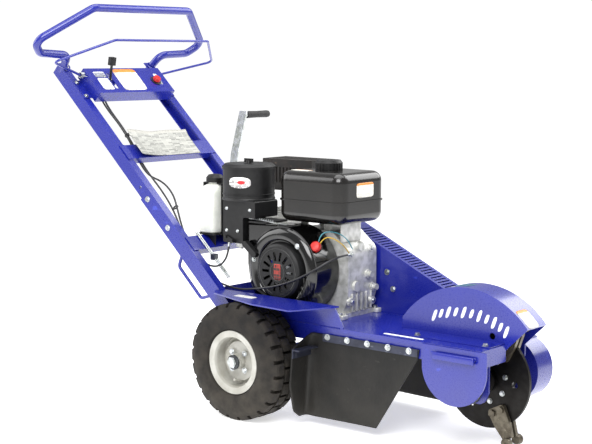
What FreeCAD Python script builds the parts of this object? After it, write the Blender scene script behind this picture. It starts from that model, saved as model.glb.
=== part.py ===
"""Walk-behind stump grinder, as a parametric FreeCAD document.

Millimetres. The model is drawn from the wheel axle: X forward to the cutter, Y to the
operator's left, Z up from the floor, and every sub-part is then shifted along X so that
the origin lies on the floor under the middle of the machine.
"""
import FreeCAD, Part
import math
import os

from FreeCAD import Placement, Rotation, Vector

SIZES = {
    # whole machine
    "origin_forward": -36.5,
    "fit_gap": 0.3,
    "running_gap": 0.05,
    # wheels and axle
    "axle_height": 167.5,
    "axle_radius": 12.5,
    "tyre_radius": 167.5,
    "tyre_width": 127.0,
    "tyre_inner": 188.0,
    "bead_radius": 76.0,
    "rim_flange_radius": 91.0,
    "rim_sheet": 3.0,
    "rim_dish": 26.0,
    "hub_radius": 22.0,
    "hub_length": 88.0,
    "lug_count": 24.0,
    "lug_depth": 11.0,
    "lug_slot": 11.0,
    # deck and rear tray
    "deck_top": 283.0,
    "deck_half": 180.0,
    "deck_rear": 185.0,
    "deck_front": 750.0,
    "deck_sheet": 4.0,
    "deck_flange": 45.0,
    "tray_height": 62.0,
    "tray_front": 300.0,
    "tray_slant": 32.0,
    "fender_reach": 141.0,
    # rails and handle
    "rail_angle": 43.1,
    "rail_mid_x": -729.7,
    "rail_mid_z": 859.3,
    "rail_side": 200.0,
    "rail_width": 26.0,
    "rail_depth": 42.0,
    "rail_wall": 3.0,
    "rail_top_run": 196.0,
    "rail_overlap": 155.0,
    "lower_rail_start": 366.0,
    "lower_rail_end": 828.0,
    "low_bar_run": 569.0,
    "bar_radius": 12.7,
    "bar_base": 187.0,
    "bar_waist": 68.0,
    "bar_waist_half": 205.0,
    "bar_elbow": 76.0,
    "bar_elbow_half": 322.0,
    "bar_lower_half": 366.0,
    "bar_upper_half": 208.0,
    "bar_slope": 47.5,
    "bar_rise": 266.0,
    "bar_corner": 122.0,
    "bail_half": 349.0,
    "bail_upper_half": 204.0,
    "bail_radius": 4.0,
    "bail_slope": 29.0,
    "bail_reach": 226.0,
    "bail_corner": 86.0,
    "console_half": 165.0,
    "console_length": 112.0,
    "console_depth": 40.0,
    "console_sheet": 2.5,
    # cutter, shaft and hood
    "cutter_x": 665.0,
    "cutter_z": 172.0,
    "cutter_y": -17.0,
    "disc_radius": 133.0,
    "disc_thick": 10.0,
    "tooth_angle": 27.0,
    "tip_radius": 14.0,
    "shaft_radius": 15.0,
    "hood_radius": 251.0,
    "hood_x": 622.0,
    "hood_z": 169.0,
    "hood_width": 95.0,
    "hood_sheet": 3.0,
    "bearing_plane": 118.0,
    "bearing_thick": 22.0,
    "bearing_radius": 38.0,
    # belt drive
    "crank_x": 51.0,
    "crank_z": 416.0,
    "belt_y": 135.0,
    "belt_width": 15.0,
    "belt_thick": 9.0,
    "belt_cover": 2.5,
    "drive_pitch": 62.0,
    "driven_pitch": 70.0,
    "idler_radius": 26.0,
    "crank_radius": 12.5,
    "guard_inner": 97.0,
    "guard_outer": 176.0,
    "guard_rear_radius": 127.0,
    "guard_front_radius": 88.0,
    "guard_sheet": 2.5,
    "guard_start": 162.0,
    # engine
    "crankcase_near": -50.0,
    "crankcase_far": 86.0,
    "fan_radius": 130.0,
    "fan_face": -148.0,
    "fan_back": -50.0,
    "recoil_radius": 86.0,
    "recoil_face": -170.0,
    "tank_length": 240.0,
    "tank_width": 208.0,
    "tank_bottom": 556.0,
    "tank_height": 146.0,
    "tank_fillet": 28.0,
    "cap_radius": 40.0,
    "cleaner_radius": 76.5,
    "cleaner_bottom": 611.0,
    "cleaner_height": 89.0,
    # control levers and small things
    "lever_run": 400.0,
    "lever_side": 136.0,
    "tie_rod_side": 136.0,
    "lever_width": 30.0,
    "lever_thick": 6.0,
    "bolt_radius": 6.5,
    "bolt_height": 5.0,
    "flap_thick": 5.0,
}

doc = FreeCAD.newDocument("StumpGrinder")
sheet = doc.addObject("Spreadsheet::Sheet", "Sizes")
for row, (alias, number) in enumerate(SIZES.items(), start=1):
    sheet.set("A%d" % row, alias)
    sheet.set("B%d" % row, str(number))
    sheet.setAlias("B%d" % row, alias)
doc.recompute()

NODES = []
X_AXIS = Vector(1, 0, 0)
Y_AXIS = Vector(0, 1, 0)
Z_AXIS = Vector(0, 0, 1)
SHIFT = Placement(Vector(-sheet.get("origin_forward"), 0, 0), Rotation())


def size(alias):
    """Read one driving dimension from the sheet."""
    return float(sheet.get(alias))


def cell(alias):
    """Name a cell of the sheet for an expression."""
    return "Sizes.%s" % alias


# ---------------------------------------------------------------- helpers


def node(obj, label, mirrored=False):
    """Register a finished sub-part; a mirrored copy follows its source's shift."""
    obj.Label = label
    if not mirrored:
        obj.Placement = SHIFT.multiply(obj.Placement)
    NODES.append(obj)
    return obj


def polar(centre, radius, degrees):
    """A point at an angle on a circle, in a sketch's two coordinates."""
    angle = math.radians(degrees)
    return (centre[0] + radius * math.cos(angle), centre[1] + radius * math.sin(angle))


def rectangle(x0, y0, x1, y1):
    """A closed rectangle outline."""
    return [(x0, y0), (x1, y0), (x1, y1), (x0, y1)]


def rounded(points, radii):
    """Round a polygon's corners with arcs; radii is one number or one per corner."""
    count = len(points)
    if not isinstance(radii, (list, tuple)):
        radii = [radii] * count
    outline = []
    for index, corner in enumerate(points):
        if radii[index] <= 0:
            outline.append(corner)
            continue
        here = Vector(corner[0], corner[1], 0)
        before = Vector(*points[index - 1], 0) - here
        after = Vector(*points[(index + 1) % count], 0) - here
        before.normalize()
        after.normalize()
        half = before.getAngle(after) / 2.0
        reach = radii[index] / math.tan(half)
        bisector = before + after
        bisector.normalize()
        middle = here + bisector * (radii[index] / math.sin(half) - radii[index])
        start = here + before * reach
        end = here + after * reach
        outline.append((start.x, start.y))
        outline.append(((middle.x, middle.y), (end.x, end.y)))
    return outline


def edges_of(outline):
    """Lines and arcs of a closed outline; an item of two points is an arc through the first."""
    edges = []
    first = outline[0]
    if isinstance(first[0], tuple):
        first = first[1]
    current = first
    for item in list(outline[1:]) + [first]:
        middle = None
        end = item
        if isinstance(item[0], tuple):
            middle, end = item
        a = Vector(current[0], current[1], 0)
        b = Vector(end[0], end[1], 0)
        if middle is not None:
            edges.append(Part.Arc(a, Vector(middle[0], middle[1], 0), b))
        elif a.distanceToPoint(b) > 1e-6:
            edges.append(Part.LineSegment(a, b))
        current = end
    return edges


def fill_sketch(sketch, outlines):
    """Draw outlines, and circles given as (x, y, radius), into a sketch."""
    for outline in outlines:
        if isinstance(outline, tuple):
            centre = Vector(outline[0], outline[1], 0)
            sketch.addGeometry(Part.Circle(centre, Z_AXIS, outline[2]))
            continue
        for edge in edges_of(outline):
            sketch.addGeometry(edge)


def new_sketch(body, plane, outlines, low=0.0):
    """A sketch on one of the body's origin planes, moved to a height above it."""
    sketch = body.newObject("Sketcher::SketchObject", body.Name + "_sketch")
    support = [f for f in body.Origin.OriginFeatures if f.Role == plane + "_Plane"][0]
    sketch.AttachmentSupport = [(support, "")]
    sketch.MapMode = "FlatFace"
    height = -low if plane == "XZ" else low
    sketch.AttachmentOffset = Placement(Vector(0, 0, height), Rotation())
    fill_sketch(sketch, outlines)
    return sketch


def add_pad(body, plane, outlines, low, length):
    """Pad outlines from a height by a length given as an expression."""
    pad = body.newObject("PartDesign::Pad", body.Name + "_pad")
    pad.Profile = new_sketch(body, plane, outlines, low)
    pad.Reversed = plane == "XZ"
    pad.setExpression("Length", length)
    body.Tip = pad
    return pad


def add_pocket(body, plane, outlines, low, length):
    """Cut outlines from a height by a length, on the side where a pad would go."""
    pocket = body.newObject("PartDesign::Pocket", body.Name + "_pocket")
    pocket.Profile = new_sketch(body, plane, outlines, low)
    pocket.Reversed = plane != "XZ"
    pocket.setExpression("Length", length)
    body.Tip = pocket
    return pocket


def new_body(name):
    """An empty PartDesign body."""
    return doc.addObject("PartDesign::Body", name)


def padded(name, plane, outlines, low, length):
    """A body with one pad."""
    body = new_body(name)
    add_pad(body, plane, outlines, low, length)
    return body


def turned(name, profile, centre, axis=Z_AXIS):
    """A body turned about an axis; the profile holds (radius, height) points."""
    body = new_body(name)
    sketch = new_sketch(body, "XZ", [profile])
    turn = body.newObject("PartDesign::Revolution", name + "_turn")
    turn.Profile = sketch
    turn.ReferenceAxis = (sketch, ["V_Axis"])
    turn.Angle = 360.0
    body.Tip = turn
    body.Placement = Placement(Vector(*centre), Rotation(Z_AXIS, axis))
    return body


def box(name, low, high):
    """A block between two corners."""
    block = doc.addObject("Part::Box", name)
    block.Length, block.Width, block.Height = [high[i] - low[i] for i in range(3)]
    block.Placement = Placement(Vector(*low), Rotation())
    return block


def rod(name, start, axis, radius, length):
    """A cylinder; radius and length are expressions or numbers."""
    cylinder = doc.addObject("Part::Cylinder", name)
    for prop, given in (("Radius", radius), ("Height", length)):
        if isinstance(given, str):
            cylinder.setExpression(prop, given)
        else:
            setattr(cylinder, prop, given)
    cylinder.Placement = Placement(Vector(*start), Rotation(Z_AXIS, Vector(*axis)))
    return cylinder


def fuse(name, *parts):
    """Join sub-shapes that are one welded or cast piece."""
    joined = doc.addObject("Part::MultiFuse", name)
    joined.Shapes = list(parts)
    return joined


def cut(name, base, *tools):
    """Take tools away from a base."""
    tool = tools[0] if len(tools) == 1 else fuse(name + "_tools", *tools)
    result = doc.addObject("Part::Cut", name)
    result.Base = base
    result.Tool = tool
    return result


def group(name, *parts):
    """Several separate solids in one node."""
    together = doc.addObject("Part::Compound", name)
    together.Links = list(parts)
    return together


def mirror(name, source):
    """The same piece on the other side of the machine's mid-plane."""
    copy = doc.addObject("Part::Mirroring", name)
    copy.Source = source
    copy.Normal = Y_AXIS
    copy.Base = Vector(0, 0, 0)
    return copy


def feature(name, shape):
    """A sub-part whose shape is made with Part's own functions."""
    obj = doc.addObject("Part::Feature", name)
    obj.Shape = shape
    return obj


def soft_path(points, radius=None):
    """Straight runs joined by tangent arcs; each arc is as large as its runs allow."""
    vectors = [Vector(*p) for p in points]
    edges = []
    current = vectors[0]
    for index in range(1, len(vectors) - 1):
        here = vectors[index]
        before = vectors[index - 1] - here
        after = vectors[index + 1] - here
        turn = math.pi - before.getAngle(after)
        arc_radius = radius or 0.45 * min(before.Length, after.Length) / math.tan(turn / 2.0)
        reach = arc_radius * math.tan(turn / 2.0)
        before.normalize()
        after.normalize()
        bisector = before + after
        bisector.normalize()
        start = here + before * reach
        end = here + after * reach
        middle = here + bisector * (arc_radius / math.cos(turn / 2.0) - arc_radius)
        if current.distanceToPoint(start) > 1e-6:
            edges.append(Part.LineSegment(current, start).toShape())
        edges.append(Part.Arc(start, middle, end).toShape())
        current = end
    edges.append(Part.LineSegment(current, vectors[-1]).toShape())
    return Part.Wire(edges)


def bent_rod(points, rod_radius, bend=None):
    """A round rod or cable along a path."""
    path = soft_path(points, bend)
    start = Vector(*points[0])
    section = Part.Wire(Part.makeCircle(rod_radius, start, Vector(*points[1]) - start))
    shape = path.makePipeShell([section], True, True)
    return shape


def bolt_head(name, place, axis):
    """A hexagon-headed fastener on its washer."""
    washer = rod(name + "_washer", place, axis, 9.0, 1.5)
    head = doc.addObject("Part::Prism", name + "_head")
    head.Polygon = 6
    head.setExpression("Circumradius", cell("bolt_radius"))
    head.setExpression("Height", cell("bolt_height"))
    raised = Vector(*place) + Vector(*axis) * 1.5
    head.Placement = Placement(raised, Rotation(Z_AXIS, Vector(*axis)))
    return fuse(name, washer, head)


# ---------------------------------------------------------------- deck and chassis


def make_deck():
    """Folded engine deck with the cutter slot and the belt-guard corner left open."""
    half = size("deck_half")
    rear = -size("deck_rear")
    front = size("deck_front")
    sheet_mm = size("deck_sheet")
    slot_near = size("cutter_y") - size("hood_width") / 2.0
    slot_far = slot_near + size("hood_width")
    guard_edge = size("guard_inner") - 2.0
    guard_start = size("guard_start")
    slot_start = 420.0
    skirt_end = 562.0
    plate = [(rear, -half), (front, -half), (front, slot_near), (slot_start, slot_near),
             (slot_start, slot_far), (front, slot_far), (front, guard_edge),
             (guard_start, guard_edge), (guard_start, half), (rear, half)]
    inner = half - sheet_mm
    skirt = [(front, slot_near), (front, -half), (rear, -half), (rear, half),
             (skirt_end, half), (skirt_end, inner), (rear + sheet_mm, inner),
             (rear + sheet_mm, -inner), (front - sheet_mm, -inner),
             (front - sheet_mm, slot_near)]
    body = new_body("Deck")
    add_pad(body, "XY", [plate], size("deck_top") - sheet_mm, cell("deck_sheet"))
    add_pad(body, "XY", [skirt], size("deck_top") - size("deck_flange"), cell("deck_flange"))
    far_arm = rectangle(slot_start, slot_far, front, slot_far + sheet_mm)
    add_pad(body, "XY", [far_arm], size("deck_top") - size("deck_flange"),
            cell("deck_flange"))
    node(body, "deck")


def fender_outline(side):
    """Wheel cover plate on one side, tapering towards the rear."""
    half = size("deck_half") - size("deck_sheet")
    reach = half + size("fender_reach")
    front = size("tray_front") - size("tray_slant")
    points = [(-size("deck_rear"), half), (front + 14.0, half), (front + 6.0, half + 26.0),
              (front - 46.0, reach), (70.0, reach - 12.0), (-135.0, half + 63.0)]
    if side < 0:
        points = [(x, -y) for x, y in reversed(points)]
    return rounded(points, [0, 0, 4, 12, 0, 10] if side > 0 else [10, 0, 12, 4, 0, 0])


def make_rear_tray():
    """Raised side walls, rear wall and the wheel covers, folded and welded as one."""
    half = size("deck_half")
    rear = -size("deck_rear")
    front = size("tray_front")
    wall = size("deck_sheet")
    walls = [(front, -half), (rear, -half), (rear, half), (front, half), (front, half - wall),
             (rear + wall, half - wall), (rear + wall, wall - half), (front, wall - half)]
    top = size("deck_top") + size("tray_height")
    body = new_body("RearTray")
    add_pad(body, "XY", [walls], size("deck_top"), cell("tray_height"))
    slant = [(front - size("tray_slant"), top + 1.0), (front + 1.0, top + 1.0),
             (front + 1.0, size("deck_top") + 2.0)]
    add_pocket(body, "XZ", [slant], -half - 1.0, "2 * %s + 2" % cell("deck_half"))
    fenders = [fender_outline(-1), fender_outline(1)]
    add_pad(body, "XY", fenders, top - wall, cell("deck_sheet"))
    node(cut("RearTray", body, *rail_rooms()), "rear_tray")


def rail_rooms():
    """Blocks of clear room round the lower rails where they pass the wheel covers."""
    outer = size("rail_side") + size("rail_wall") + 2.0 * size("fit_gap")
    lift = size("rail_depth") / 2.0 + size("rail_wall") + 2.0 * size("fit_gap")
    rooms = []
    for side in (-1, 1):
        low, high = sorted((side * size("deck_half"), side * outer))
        room = box("CoverRoom%d" % side, (0.0, low, -lift),
                   (size("lower_rail_end") - 690.0, high, lift))
        room.Placement = rail_placement(690.0, 0.0, 0.0).multiply(room.Placement)
        rooms.append(room)
    return rooms


def make_brackets():
    """Axle plates and cutter bearing plates welded under the deck."""
    under = size("deck_top") - size("deck_sheet")
    axle = (0.0, size("axle_height"))
    axle_hole = (axle[0], axle[1], size("axle_radius") + 0.02)
    axle_plate = [(-75.0, under), (-75.0, under - 20.0), polar(axle, 30.0, 160),
                  (polar(axle, 30.0, 270), polar(axle, 30.0, 20)), (75.0, under - 20.0),
                  (75.0, under)]
    shaft = (size("cutter_x"), size("cutter_z"))
    shaft_hole = (shaft[0], shaft[1], size("shaft_radius") + 4.0)
    bearing_plate = rounded([(shaft[0] - 103.0, under), (shaft[0] - 103.0, under - 40.0),
                             (shaft[0] - 46.0, shaft[1] - 44.0),
                             (shaft[0] + 52.0, shaft[1] - 44.0), (shaft[0] + 68.0, under - 120.0),
                             (shaft[0] + 68.0, under)], [0, 8, 22, 22, 8, 0])
    near = -size("bearing_plane")
    far = slot_far_side() + size("deck_sheet") + 14.0
    plates = []
    for index, low in enumerate((-158.0, 152.0)):
        plates.append(padded("AxlePlate%d" % index, "XZ", [axle_plate, axle_hole], low, "6"))
    for index, low in enumerate((near, far)):
        plates.append(padded("BearingPlate%d" % index, "XZ", [bearing_plate, shaft_hole],
                             low, "6"))
    node(group("ChassisBrackets", *plates), "chassis_brackets")


def slot_far_side():
    """The far edge of the cutter slot in the deck."""
    return size("cutter_y") + size("hood_width") / 2.0


def make_axle():
    """Fixed axle bar with a castle nut and washer at each end."""
    middle = size("tyre_inner") + size("tyre_width") / 2.0
    hub_end = middle + size("hub_length") / 2.0 + 0.5
    end = hub_end + 16.0
    z = size("axle_height")
    bar = rod("AxleBar", (0, -end, z), (0, 1, 0), cell("axle_radius"), 2 * end)
    parts = [bar]
    for side in (-1, 1):
        face = side * hub_end
        parts.append(rod("AxleWasher%d" % side, (0, face, z), (0, side, 0), 20.0, 3.0))
        nut = doc.addObject("Part::Prism", "AxleNut%d" % side)
        nut.Polygon = 6
        nut.Circumradius = 17.0
        nut.Height = 11.0
        nut.Placement = Placement(Vector(0, face + side * 3.0, z),
                                  Rotation(Z_AXIS, Vector(0, side, 0)))
        parts.append(nut)
    for side in (-1, 1):
        collar = side * (middle - size("hub_length") / 2.0 - 0.5)
        parts.append(rod("AxleCollar%d" % side, (0, collar, z), (0, -side, 0), 19.0, 14.0))
    node(fuse("WheelAxle", *parts), "wheel_axle")


# ---------------------------------------------------------------- wheels


def tyre_shape():
    """Knobby tyre: a turned carcass with a flat-topped tread cut into staggered lugs."""
    radius = size("tyre_radius")
    half = size("tyre_width") / 2.0
    bead = size("bead_radius") + 0.2
    bead_half = half - 15.0
    count = int(size("lug_count"))
    peak = radius / math.cos(math.pi / count)
    flange = size("rim_flange_radius") + 1.0
    skin = [(bead, -bead_half), (bead, -bead_half + 12.0), (bead + 16.0, -half + 14.0),
            ((radius - 34.0, -half + 9.0), (radius - 20.0, -half + 24.0)),
            (radius - 20.0, half - 24.0),
            ((radius - 34.0, half - 9.0), (bead + 16.0, half - 14.0)),
            (bead, bead_half - 12.0), (bead, bead_half), (flange, bead_half),
            (flange + 5.0, half - 5.0),
            ((bead + 46.0, half), (radius - 16.0, half - 7.0)), (peak - 4.0, half - 13.0),
            (peak, half - 22.0), (peak, -half + 22.0), (peak - 4.0, -half + 13.0),
            (radius - 16.0, -half + 7.0),
            ((bead + 46.0, -half), (flange + 5.0, -half + 5.0)), (flange, -bead_half)]
    face = Part.Face(Part.Wire([e.toShape() for e in edges_of(skin)]))
    face.rotate(Vector(0, 0, 0), X_AXIS, 90)
    ring = face.revolve(Vector(0, 0, 0), Z_AXIS, 360)
    step = 2.0 * math.pi / count
    corners = [Vector(peak * math.cos(step * (k + 0.5)), peak * math.sin(step * (k + 0.5)),
                      -half - 1.0) for k in range(count)]
    prism = Part.Face(Part.makePolygon(corners + corners[:1]))
    tread = ring.common(prism.extrude(Vector(0, 0, 2.0 * half + 2.0)))
    depth = size("lug_depth")
    slot = size("lug_slot")
    base = radius - depth
    cuts = []
    for edge in (-22.0, 14.0):
        outer = Part.makeCylinder(peak + 2.0, 8.0, Vector(0, 0, edge))
        cuts.append(outer.cut(Part.makeCylinder(base, 8.0, Vector(0, 0, edge))))
    shoulder = half - 22.0
    for k in range(count):
        turn = math.degrees(step) * (k + 0.5)
        for low, high in ((-half - 1.0, -shoulder + 20.0), (shoulder - 20.0, half + 1.0)):
            block = Part.makeBox(depth + 20.0, slot, high - low,
                                 Vector(base, -slot / 2.0, low))
            cuts.append(block.rotate(Vector(0, 0, 0), Z_AXIS, turn))
        middle = Part.makeBox(depth + 20.0, slot * 0.8, 28.0,
                              Vector(base, -slot * 0.4, -14.0))
        cuts.append(middle.rotate(Vector(0, 0, 0), Z_AXIS, turn - math.degrees(step) / 2.0))
    return tread.cut(cuts)


def make_wheels():
    """Right wheel and its mirror on the left: knobby tyre and dished steel rim."""
    middle = -(size("tyre_inner") + size("tyre_width") / 2.0)
    place = Placement(Vector(0, middle, size("axle_height")),
                      Rotation(Z_AXIS, Vector(0, -1, 0)))
    tyre = feature("TyreRight", tyre_shape())
    tyre.Placement = place
    node(tyre, "tyre_right")
    bead = size("bead_radius")
    flange = size("rim_flange_radius")
    wall = size("rim_sheet")
    half = size("tyre_width") / 2.0 - 15.0
    dish = half - size("rim_dish")
    hub = size("hub_radius")
    bore = size("axle_radius") + size("running_gap")
    hub_half = size("hub_length") / 2.0
    profile = [(bore, -hub_half), (hub, -hub_half), (hub, dish - 3.0), (bead - 22.0, dish - 3.0),
               (bead - 14.0, dish - 14.0), (bead - wall - 3.0, dish - 14.0),
               (bead - wall - 3.0, -half + 4.0), (bead - wall, -half - wall),
               (flange, -half - wall - 2.0), (flange, -half - 0.3), (bead, -half - 0.3),
               (bead, -half + 14.0), (bead - 3.0, -half + 20.0), (bead - 3.0, half - 20.0),
               (bead, half - 14.0), (bead, half + 0.3), (flange, half + 0.3),
               (flange, half + wall + 2.0), (bead - wall, half + wall),
               (bead - wall - 3.0, half - 4.0), (bead - wall - 3.0, dish - 10.0),
               (bead - 12.0, dish - 10.0), (bead - 20.0, dish), (hub, dish),
               (hub, hub_half), (bore, hub_half)]
    rim = turned("RimRight", profile, (0, middle, size("axle_height")), Vector(0, -1, 0))
    stem = rod("ValveStem", (0, middle - dish + 8.0, size("axle_height") - 62.0),
               (0.0, -0.94, 0.34), 4.0, 34.0)
    wheel_rim = node(fuse("RimWithValve", rim, stem), "rim_right")
    node(mirror("TyreLeft", tyre), "tyre_left", mirrored=True)
    node(mirror("RimLeft", wheel_rim), "rim_left", mirrored=True)


# ---------------------------------------------------------------- rails and handle


def rail_point(run, lift=0.0, y=0.0):
    """A point along the rail line: run down and forward, lift square to the rail."""
    angle = math.radians(size("rail_angle"))
    x = size("rail_mid_x") + run * math.cos(angle) + lift * math.sin(angle)
    z = size("rail_mid_z") - run * math.sin(angle) + lift * math.cos(angle)
    return (x, y, z)


def rail_placement(run, lift, y):
    """Local X down the rail, local Z square to it and up."""
    return Placement(Vector(*rail_point(run, lift, y)), Rotation(Y_AXIS, size("rail_angle")))


def channel(name, width, depth, wall, length, run, y):
    """C-section rail, open to the inside, drawn square to the rail line."""
    half = width / 2.0
    section = [(0, -half), (depth, -half), (depth, wall - half), (wall, wall - half),
               (wall, half - wall), (depth, half - wall), (depth, half), (0, half)]
    body = padded(name, "YZ", [section], 0.0, length)
    body.Placement = rail_placement(run, 0.0, y)
    return body


def make_rails():
    """Telescoping handle rails: the upper pair slides inside the lower pair and is bolted."""
    wall = size("rail_wall")
    width = size("rail_width")
    depth = size("rail_depth")
    side = -size("rail_side")
    gap = size("fit_gap")
    top = -size("rail_top_run")
    upper_length = "%s + %s + %s" % (cell("rail_top_run"), cell("lower_rail_start"),
                                     cell("rail_overlap"))
    upper = channel("UpperRail", depth, width, wall, upper_length, top, side)
    hole = rod("RailHole", rail_point(size("lower_rail_start") - 29.0, 0.0, side - 1.0),
               (0, 1, 0), 5.0, 2 * wall)
    upper_drilled = node(cut("UpperRailRight", upper, hole), "upper_rail_right")
    lower_depth = depth + 2.0 * (wall + gap)
    start = size("lower_rail_start")
    lower = channel("LowerRail", lower_depth, width, wall,
                    "%s - %s" % (cell("lower_rail_end"), cell("lower_rail_start")),
                    start, side - wall - gap)
    tray_side = box("TraySide", (-size("deck_rear") - 5.0, -size("deck_half"), 0.0),
                    (60.0, size("deck_half"), size("deck_top") + size("tray_height") + 2.0))
    trimmed = cut("LowerRailRight", lower, tray_side)
    lower_node = node(trimmed, "lower_rail_right")
    node(mirror("UpperRailLeft", upper_drilled), "upper_rail_left", mirrored=True)
    node(mirror("LowerRailLeft", lower_node), "lower_rail_left", mirrored=True)


def bar_point(along, y, slope, base):
    """A point of a handle loop in its tilted plane."""
    angle = math.radians(slope)
    return (base[0] + along * math.cos(angle), y, base[1] + along * math.sin(angle))


def loop_points(base, slope, half_loop):
    """Both halves of a handle loop, from the right foot over the top to the left foot."""
    right = [bar_point(along, -half, slope, base) for along, half in half_loop]
    left = [(x, -y, z) for x, y, z in reversed(right)]
    return right + left


def bar_foot():
    """Where the handle loop's feet enter the tops of the rails, as (x, z)."""
    x, _, z = rail_point(-176.0, 6.5, 0.0)
    return (x, z)


def make_handlebar():
    """Bent tube loop welded to the tops of the upper rails."""
    base = bar_foot()
    path = loop_points(base, size("bar_slope"),
                       [(-10.0, size("bar_base")),
                        (size("bar_waist"), size("bar_waist_half")),
                        (size("bar_elbow"), size("bar_elbow_half")),
                        (size("bar_corner"), size("bar_lower_half")),
                        (size("bar_rise"), size("bar_upper_half"))])
    tube = feature("HandleTube", bent_rod(path, size("bar_radius"), 32.0))
    rails = []
    for side in (-1, 1):
        width = size("rail_width")
        depth = size("rail_depth")
        middle = side * (size("rail_side") - width / 2.0)
        block = box("RailRoom%d" % side, (0, -width / 2.0, -depth / 2.0),
                    (220.0, width / 2.0, depth / 2.0))
        block.Placement = rail_placement(-240.0, 0.0, middle).multiply(block.Placement)
        rails.append(block)
    node(cut("Handlebar", tube, *rails), "handlebar")


def bail_pivot():
    """Bail pivot at the console's rear corners, as (x, z)."""
    x, _, z = rail_point(-112.0, size("rail_depth") / 2.0 + size("console_depth") - 14.0, 0.0)
    return (x, z)


def make_bail():
    """Operator presence rod that lies under the handle loop and turns at the console."""
    base = bail_pivot()
    slope = size("bail_slope")
    points = loop_points(base, slope,
                         [(0.0, size("console_half") + 6.0), (24.0, 226.0),
                          (size("bail_corner"), size("bail_half")),
                          (size("bail_reach"), size("bail_upper_half"))])
    points[0] = (base[0], -(size("console_half") - 26.0), base[1])
    points[-1] = (base[0], size("console_half") - 26.0, base[1])
    points.insert(1, (base[0], -(size("console_half") + 14.0), base[1]))
    points.insert(-1, (base[0], size("console_half") + 14.0, base[1]))
    node(feature("OperatorBail", bent_rod(points, size("bail_radius"), 14.0)),
         "operator_bail")


def make_console():
    """Folded control plate between the rails, with the lever slot and the bail bushes."""
    half = size("console_half")
    length = size("console_length")
    wall = size("console_sheet")
    depth = size("console_depth")
    outer = rectangle(0.0, -half, length, half)
    inner = rectangle(wall, wall - half, length - wall, half - wall)
    body = new_body("Console")
    add_pad(body, "XY", [outer], 0.0, cell("console_depth"))
    add_pocket(body, "XY", [inner], -1.0, "%s - %s + 1" % (cell("console_depth"),
                                                           cell("console_sheet")))
    slot = rounded(rectangle(24.0, -86.0, 94.0, -72.0), 6.0)
    switch_hole = (62.0, 112.0, 9.0)
    add_pocket(body, "XY", [slot, switch_hole], depth - wall - 1.0, "10")
    reach = size("rail_side") - size("fit_gap")
    feet = [rectangle(16.0, side * (half - 1.0), length - 16.0, side * reach)
            for side in (-1, 1)]
    add_pad(body, "XY", feet, 0.0, cell("console_sheet"))
    placement = rail_placement(-128.0, size("rail_depth") / 2.0 + size("fit_gap"), 0.0)
    body.Placement = placement
    bore = size("bail_radius") + size("running_gap")
    base = bail_pivot()
    holes = rod("BailHole", (base[0], -half - 5.0, base[1]), (0, 1, 0), bore, 2 * half + 10.0)
    bushes = []
    for side in (-1, 1):
        bushes.append(rod("BailBush%d" % side, (base[0], side * (half - wall), base[1]),
                          (0, -side, 0), 9.0, 22.0))
    ears = []
    for side in (-1, 1):
        ear_y = -79.0 + side * 9.5
        ear = box("ThrottleEar%d" % side, (48.0, ear_y - 2.0, 10.0),
                  (68.0, ear_y + 2.0, depth - 1.0))
        ear.Placement = placement.multiply(ear.Placement)
        ears.append(ear)
    pivot = throttle_pivot()
    pin = rod("ThrottlePin", (pivot[0], -79.0 - 10.0, pivot[1]), (0, 1, 0), 4.0, 20.0)
    console = fuse("ConsoleBushes", body, pin, *(bushes + ears))
    node(cut("ControlConsole", console, holes), "control_console")


def make_throttle():
    """Throttle lever with a square black knob; it turns under the console slot."""
    pivot = throttle_pivot()
    y = -79.0
    bushing = rod("ThrottleHub", (pivot[0], y - 7.0, pivot[1]), (0, 1, 0), 9.0, 14.0)
    hole = rod("ThrottleBore", (pivot[0], y - 8.0, pivot[1]), (0, 1, 0),
               4.0 + size("running_gap"), 16.0)
    blade = doc.addObject("Part::Box", "ThrottleBlade")
    blade.Length, blade.Width, blade.Height = 9.0, 3.0, 74.0
    lean = Rotation(Y_AXIS, 10.0)
    blade.Placement = Placement(Vector(pivot[0], y - 1.5, pivot[1]), lean).multiply(
        Placement(Vector(-4.5, 0, 0), Rotation()))
    knob = padded("ThrottleKnob", "XY", [rounded(rectangle(-9.5, -11.0, 9.5, 11.0), 4.0)],
                  0.0, "26")
    knob.Placement = Placement(Vector(pivot[0], y, pivot[1]), lean).multiply(
        Placement(Vector(0, 0, 64.0), Rotation()))
    node(cut("ThrottleLever", fuse("ThrottleParts", bushing, blade, knob), hole),
         "throttle_lever")


def throttle_pivot():
    """Throttle lever pivot inside the console, as (x, z)."""
    x, _, z = rail_point(-70.0, size("rail_depth") / 2.0 + 22.0, 0.0)
    return (x, z)


def make_stop_switch():
    """Red push switch in the console; it travels straight down into its hole."""
    button = doc.addObject("Part::Cylinder", "SwitchStem")
    button.Radius = 9.0 - size("fit_gap")
    button.Height = 22.0
    cap = doc.addObject("Part::Cone", "SwitchCap")
    cap.Radius1 = 14.0
    cap.Radius2 = 12.0
    cap.Height = 9.0
    cap.Placement = Placement(Vector(0, 0, 20.0), Rotation())
    switch = fuse("StopSwitch", button, cap)
    lift = size("rail_depth") / 2.0 + size("fit_gap") + size("console_depth") - 14.0
    switch.Placement = rail_placement(-128.0 + 62.0, lift, 112.0)
    node(switch, "stop_switch")


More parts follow.
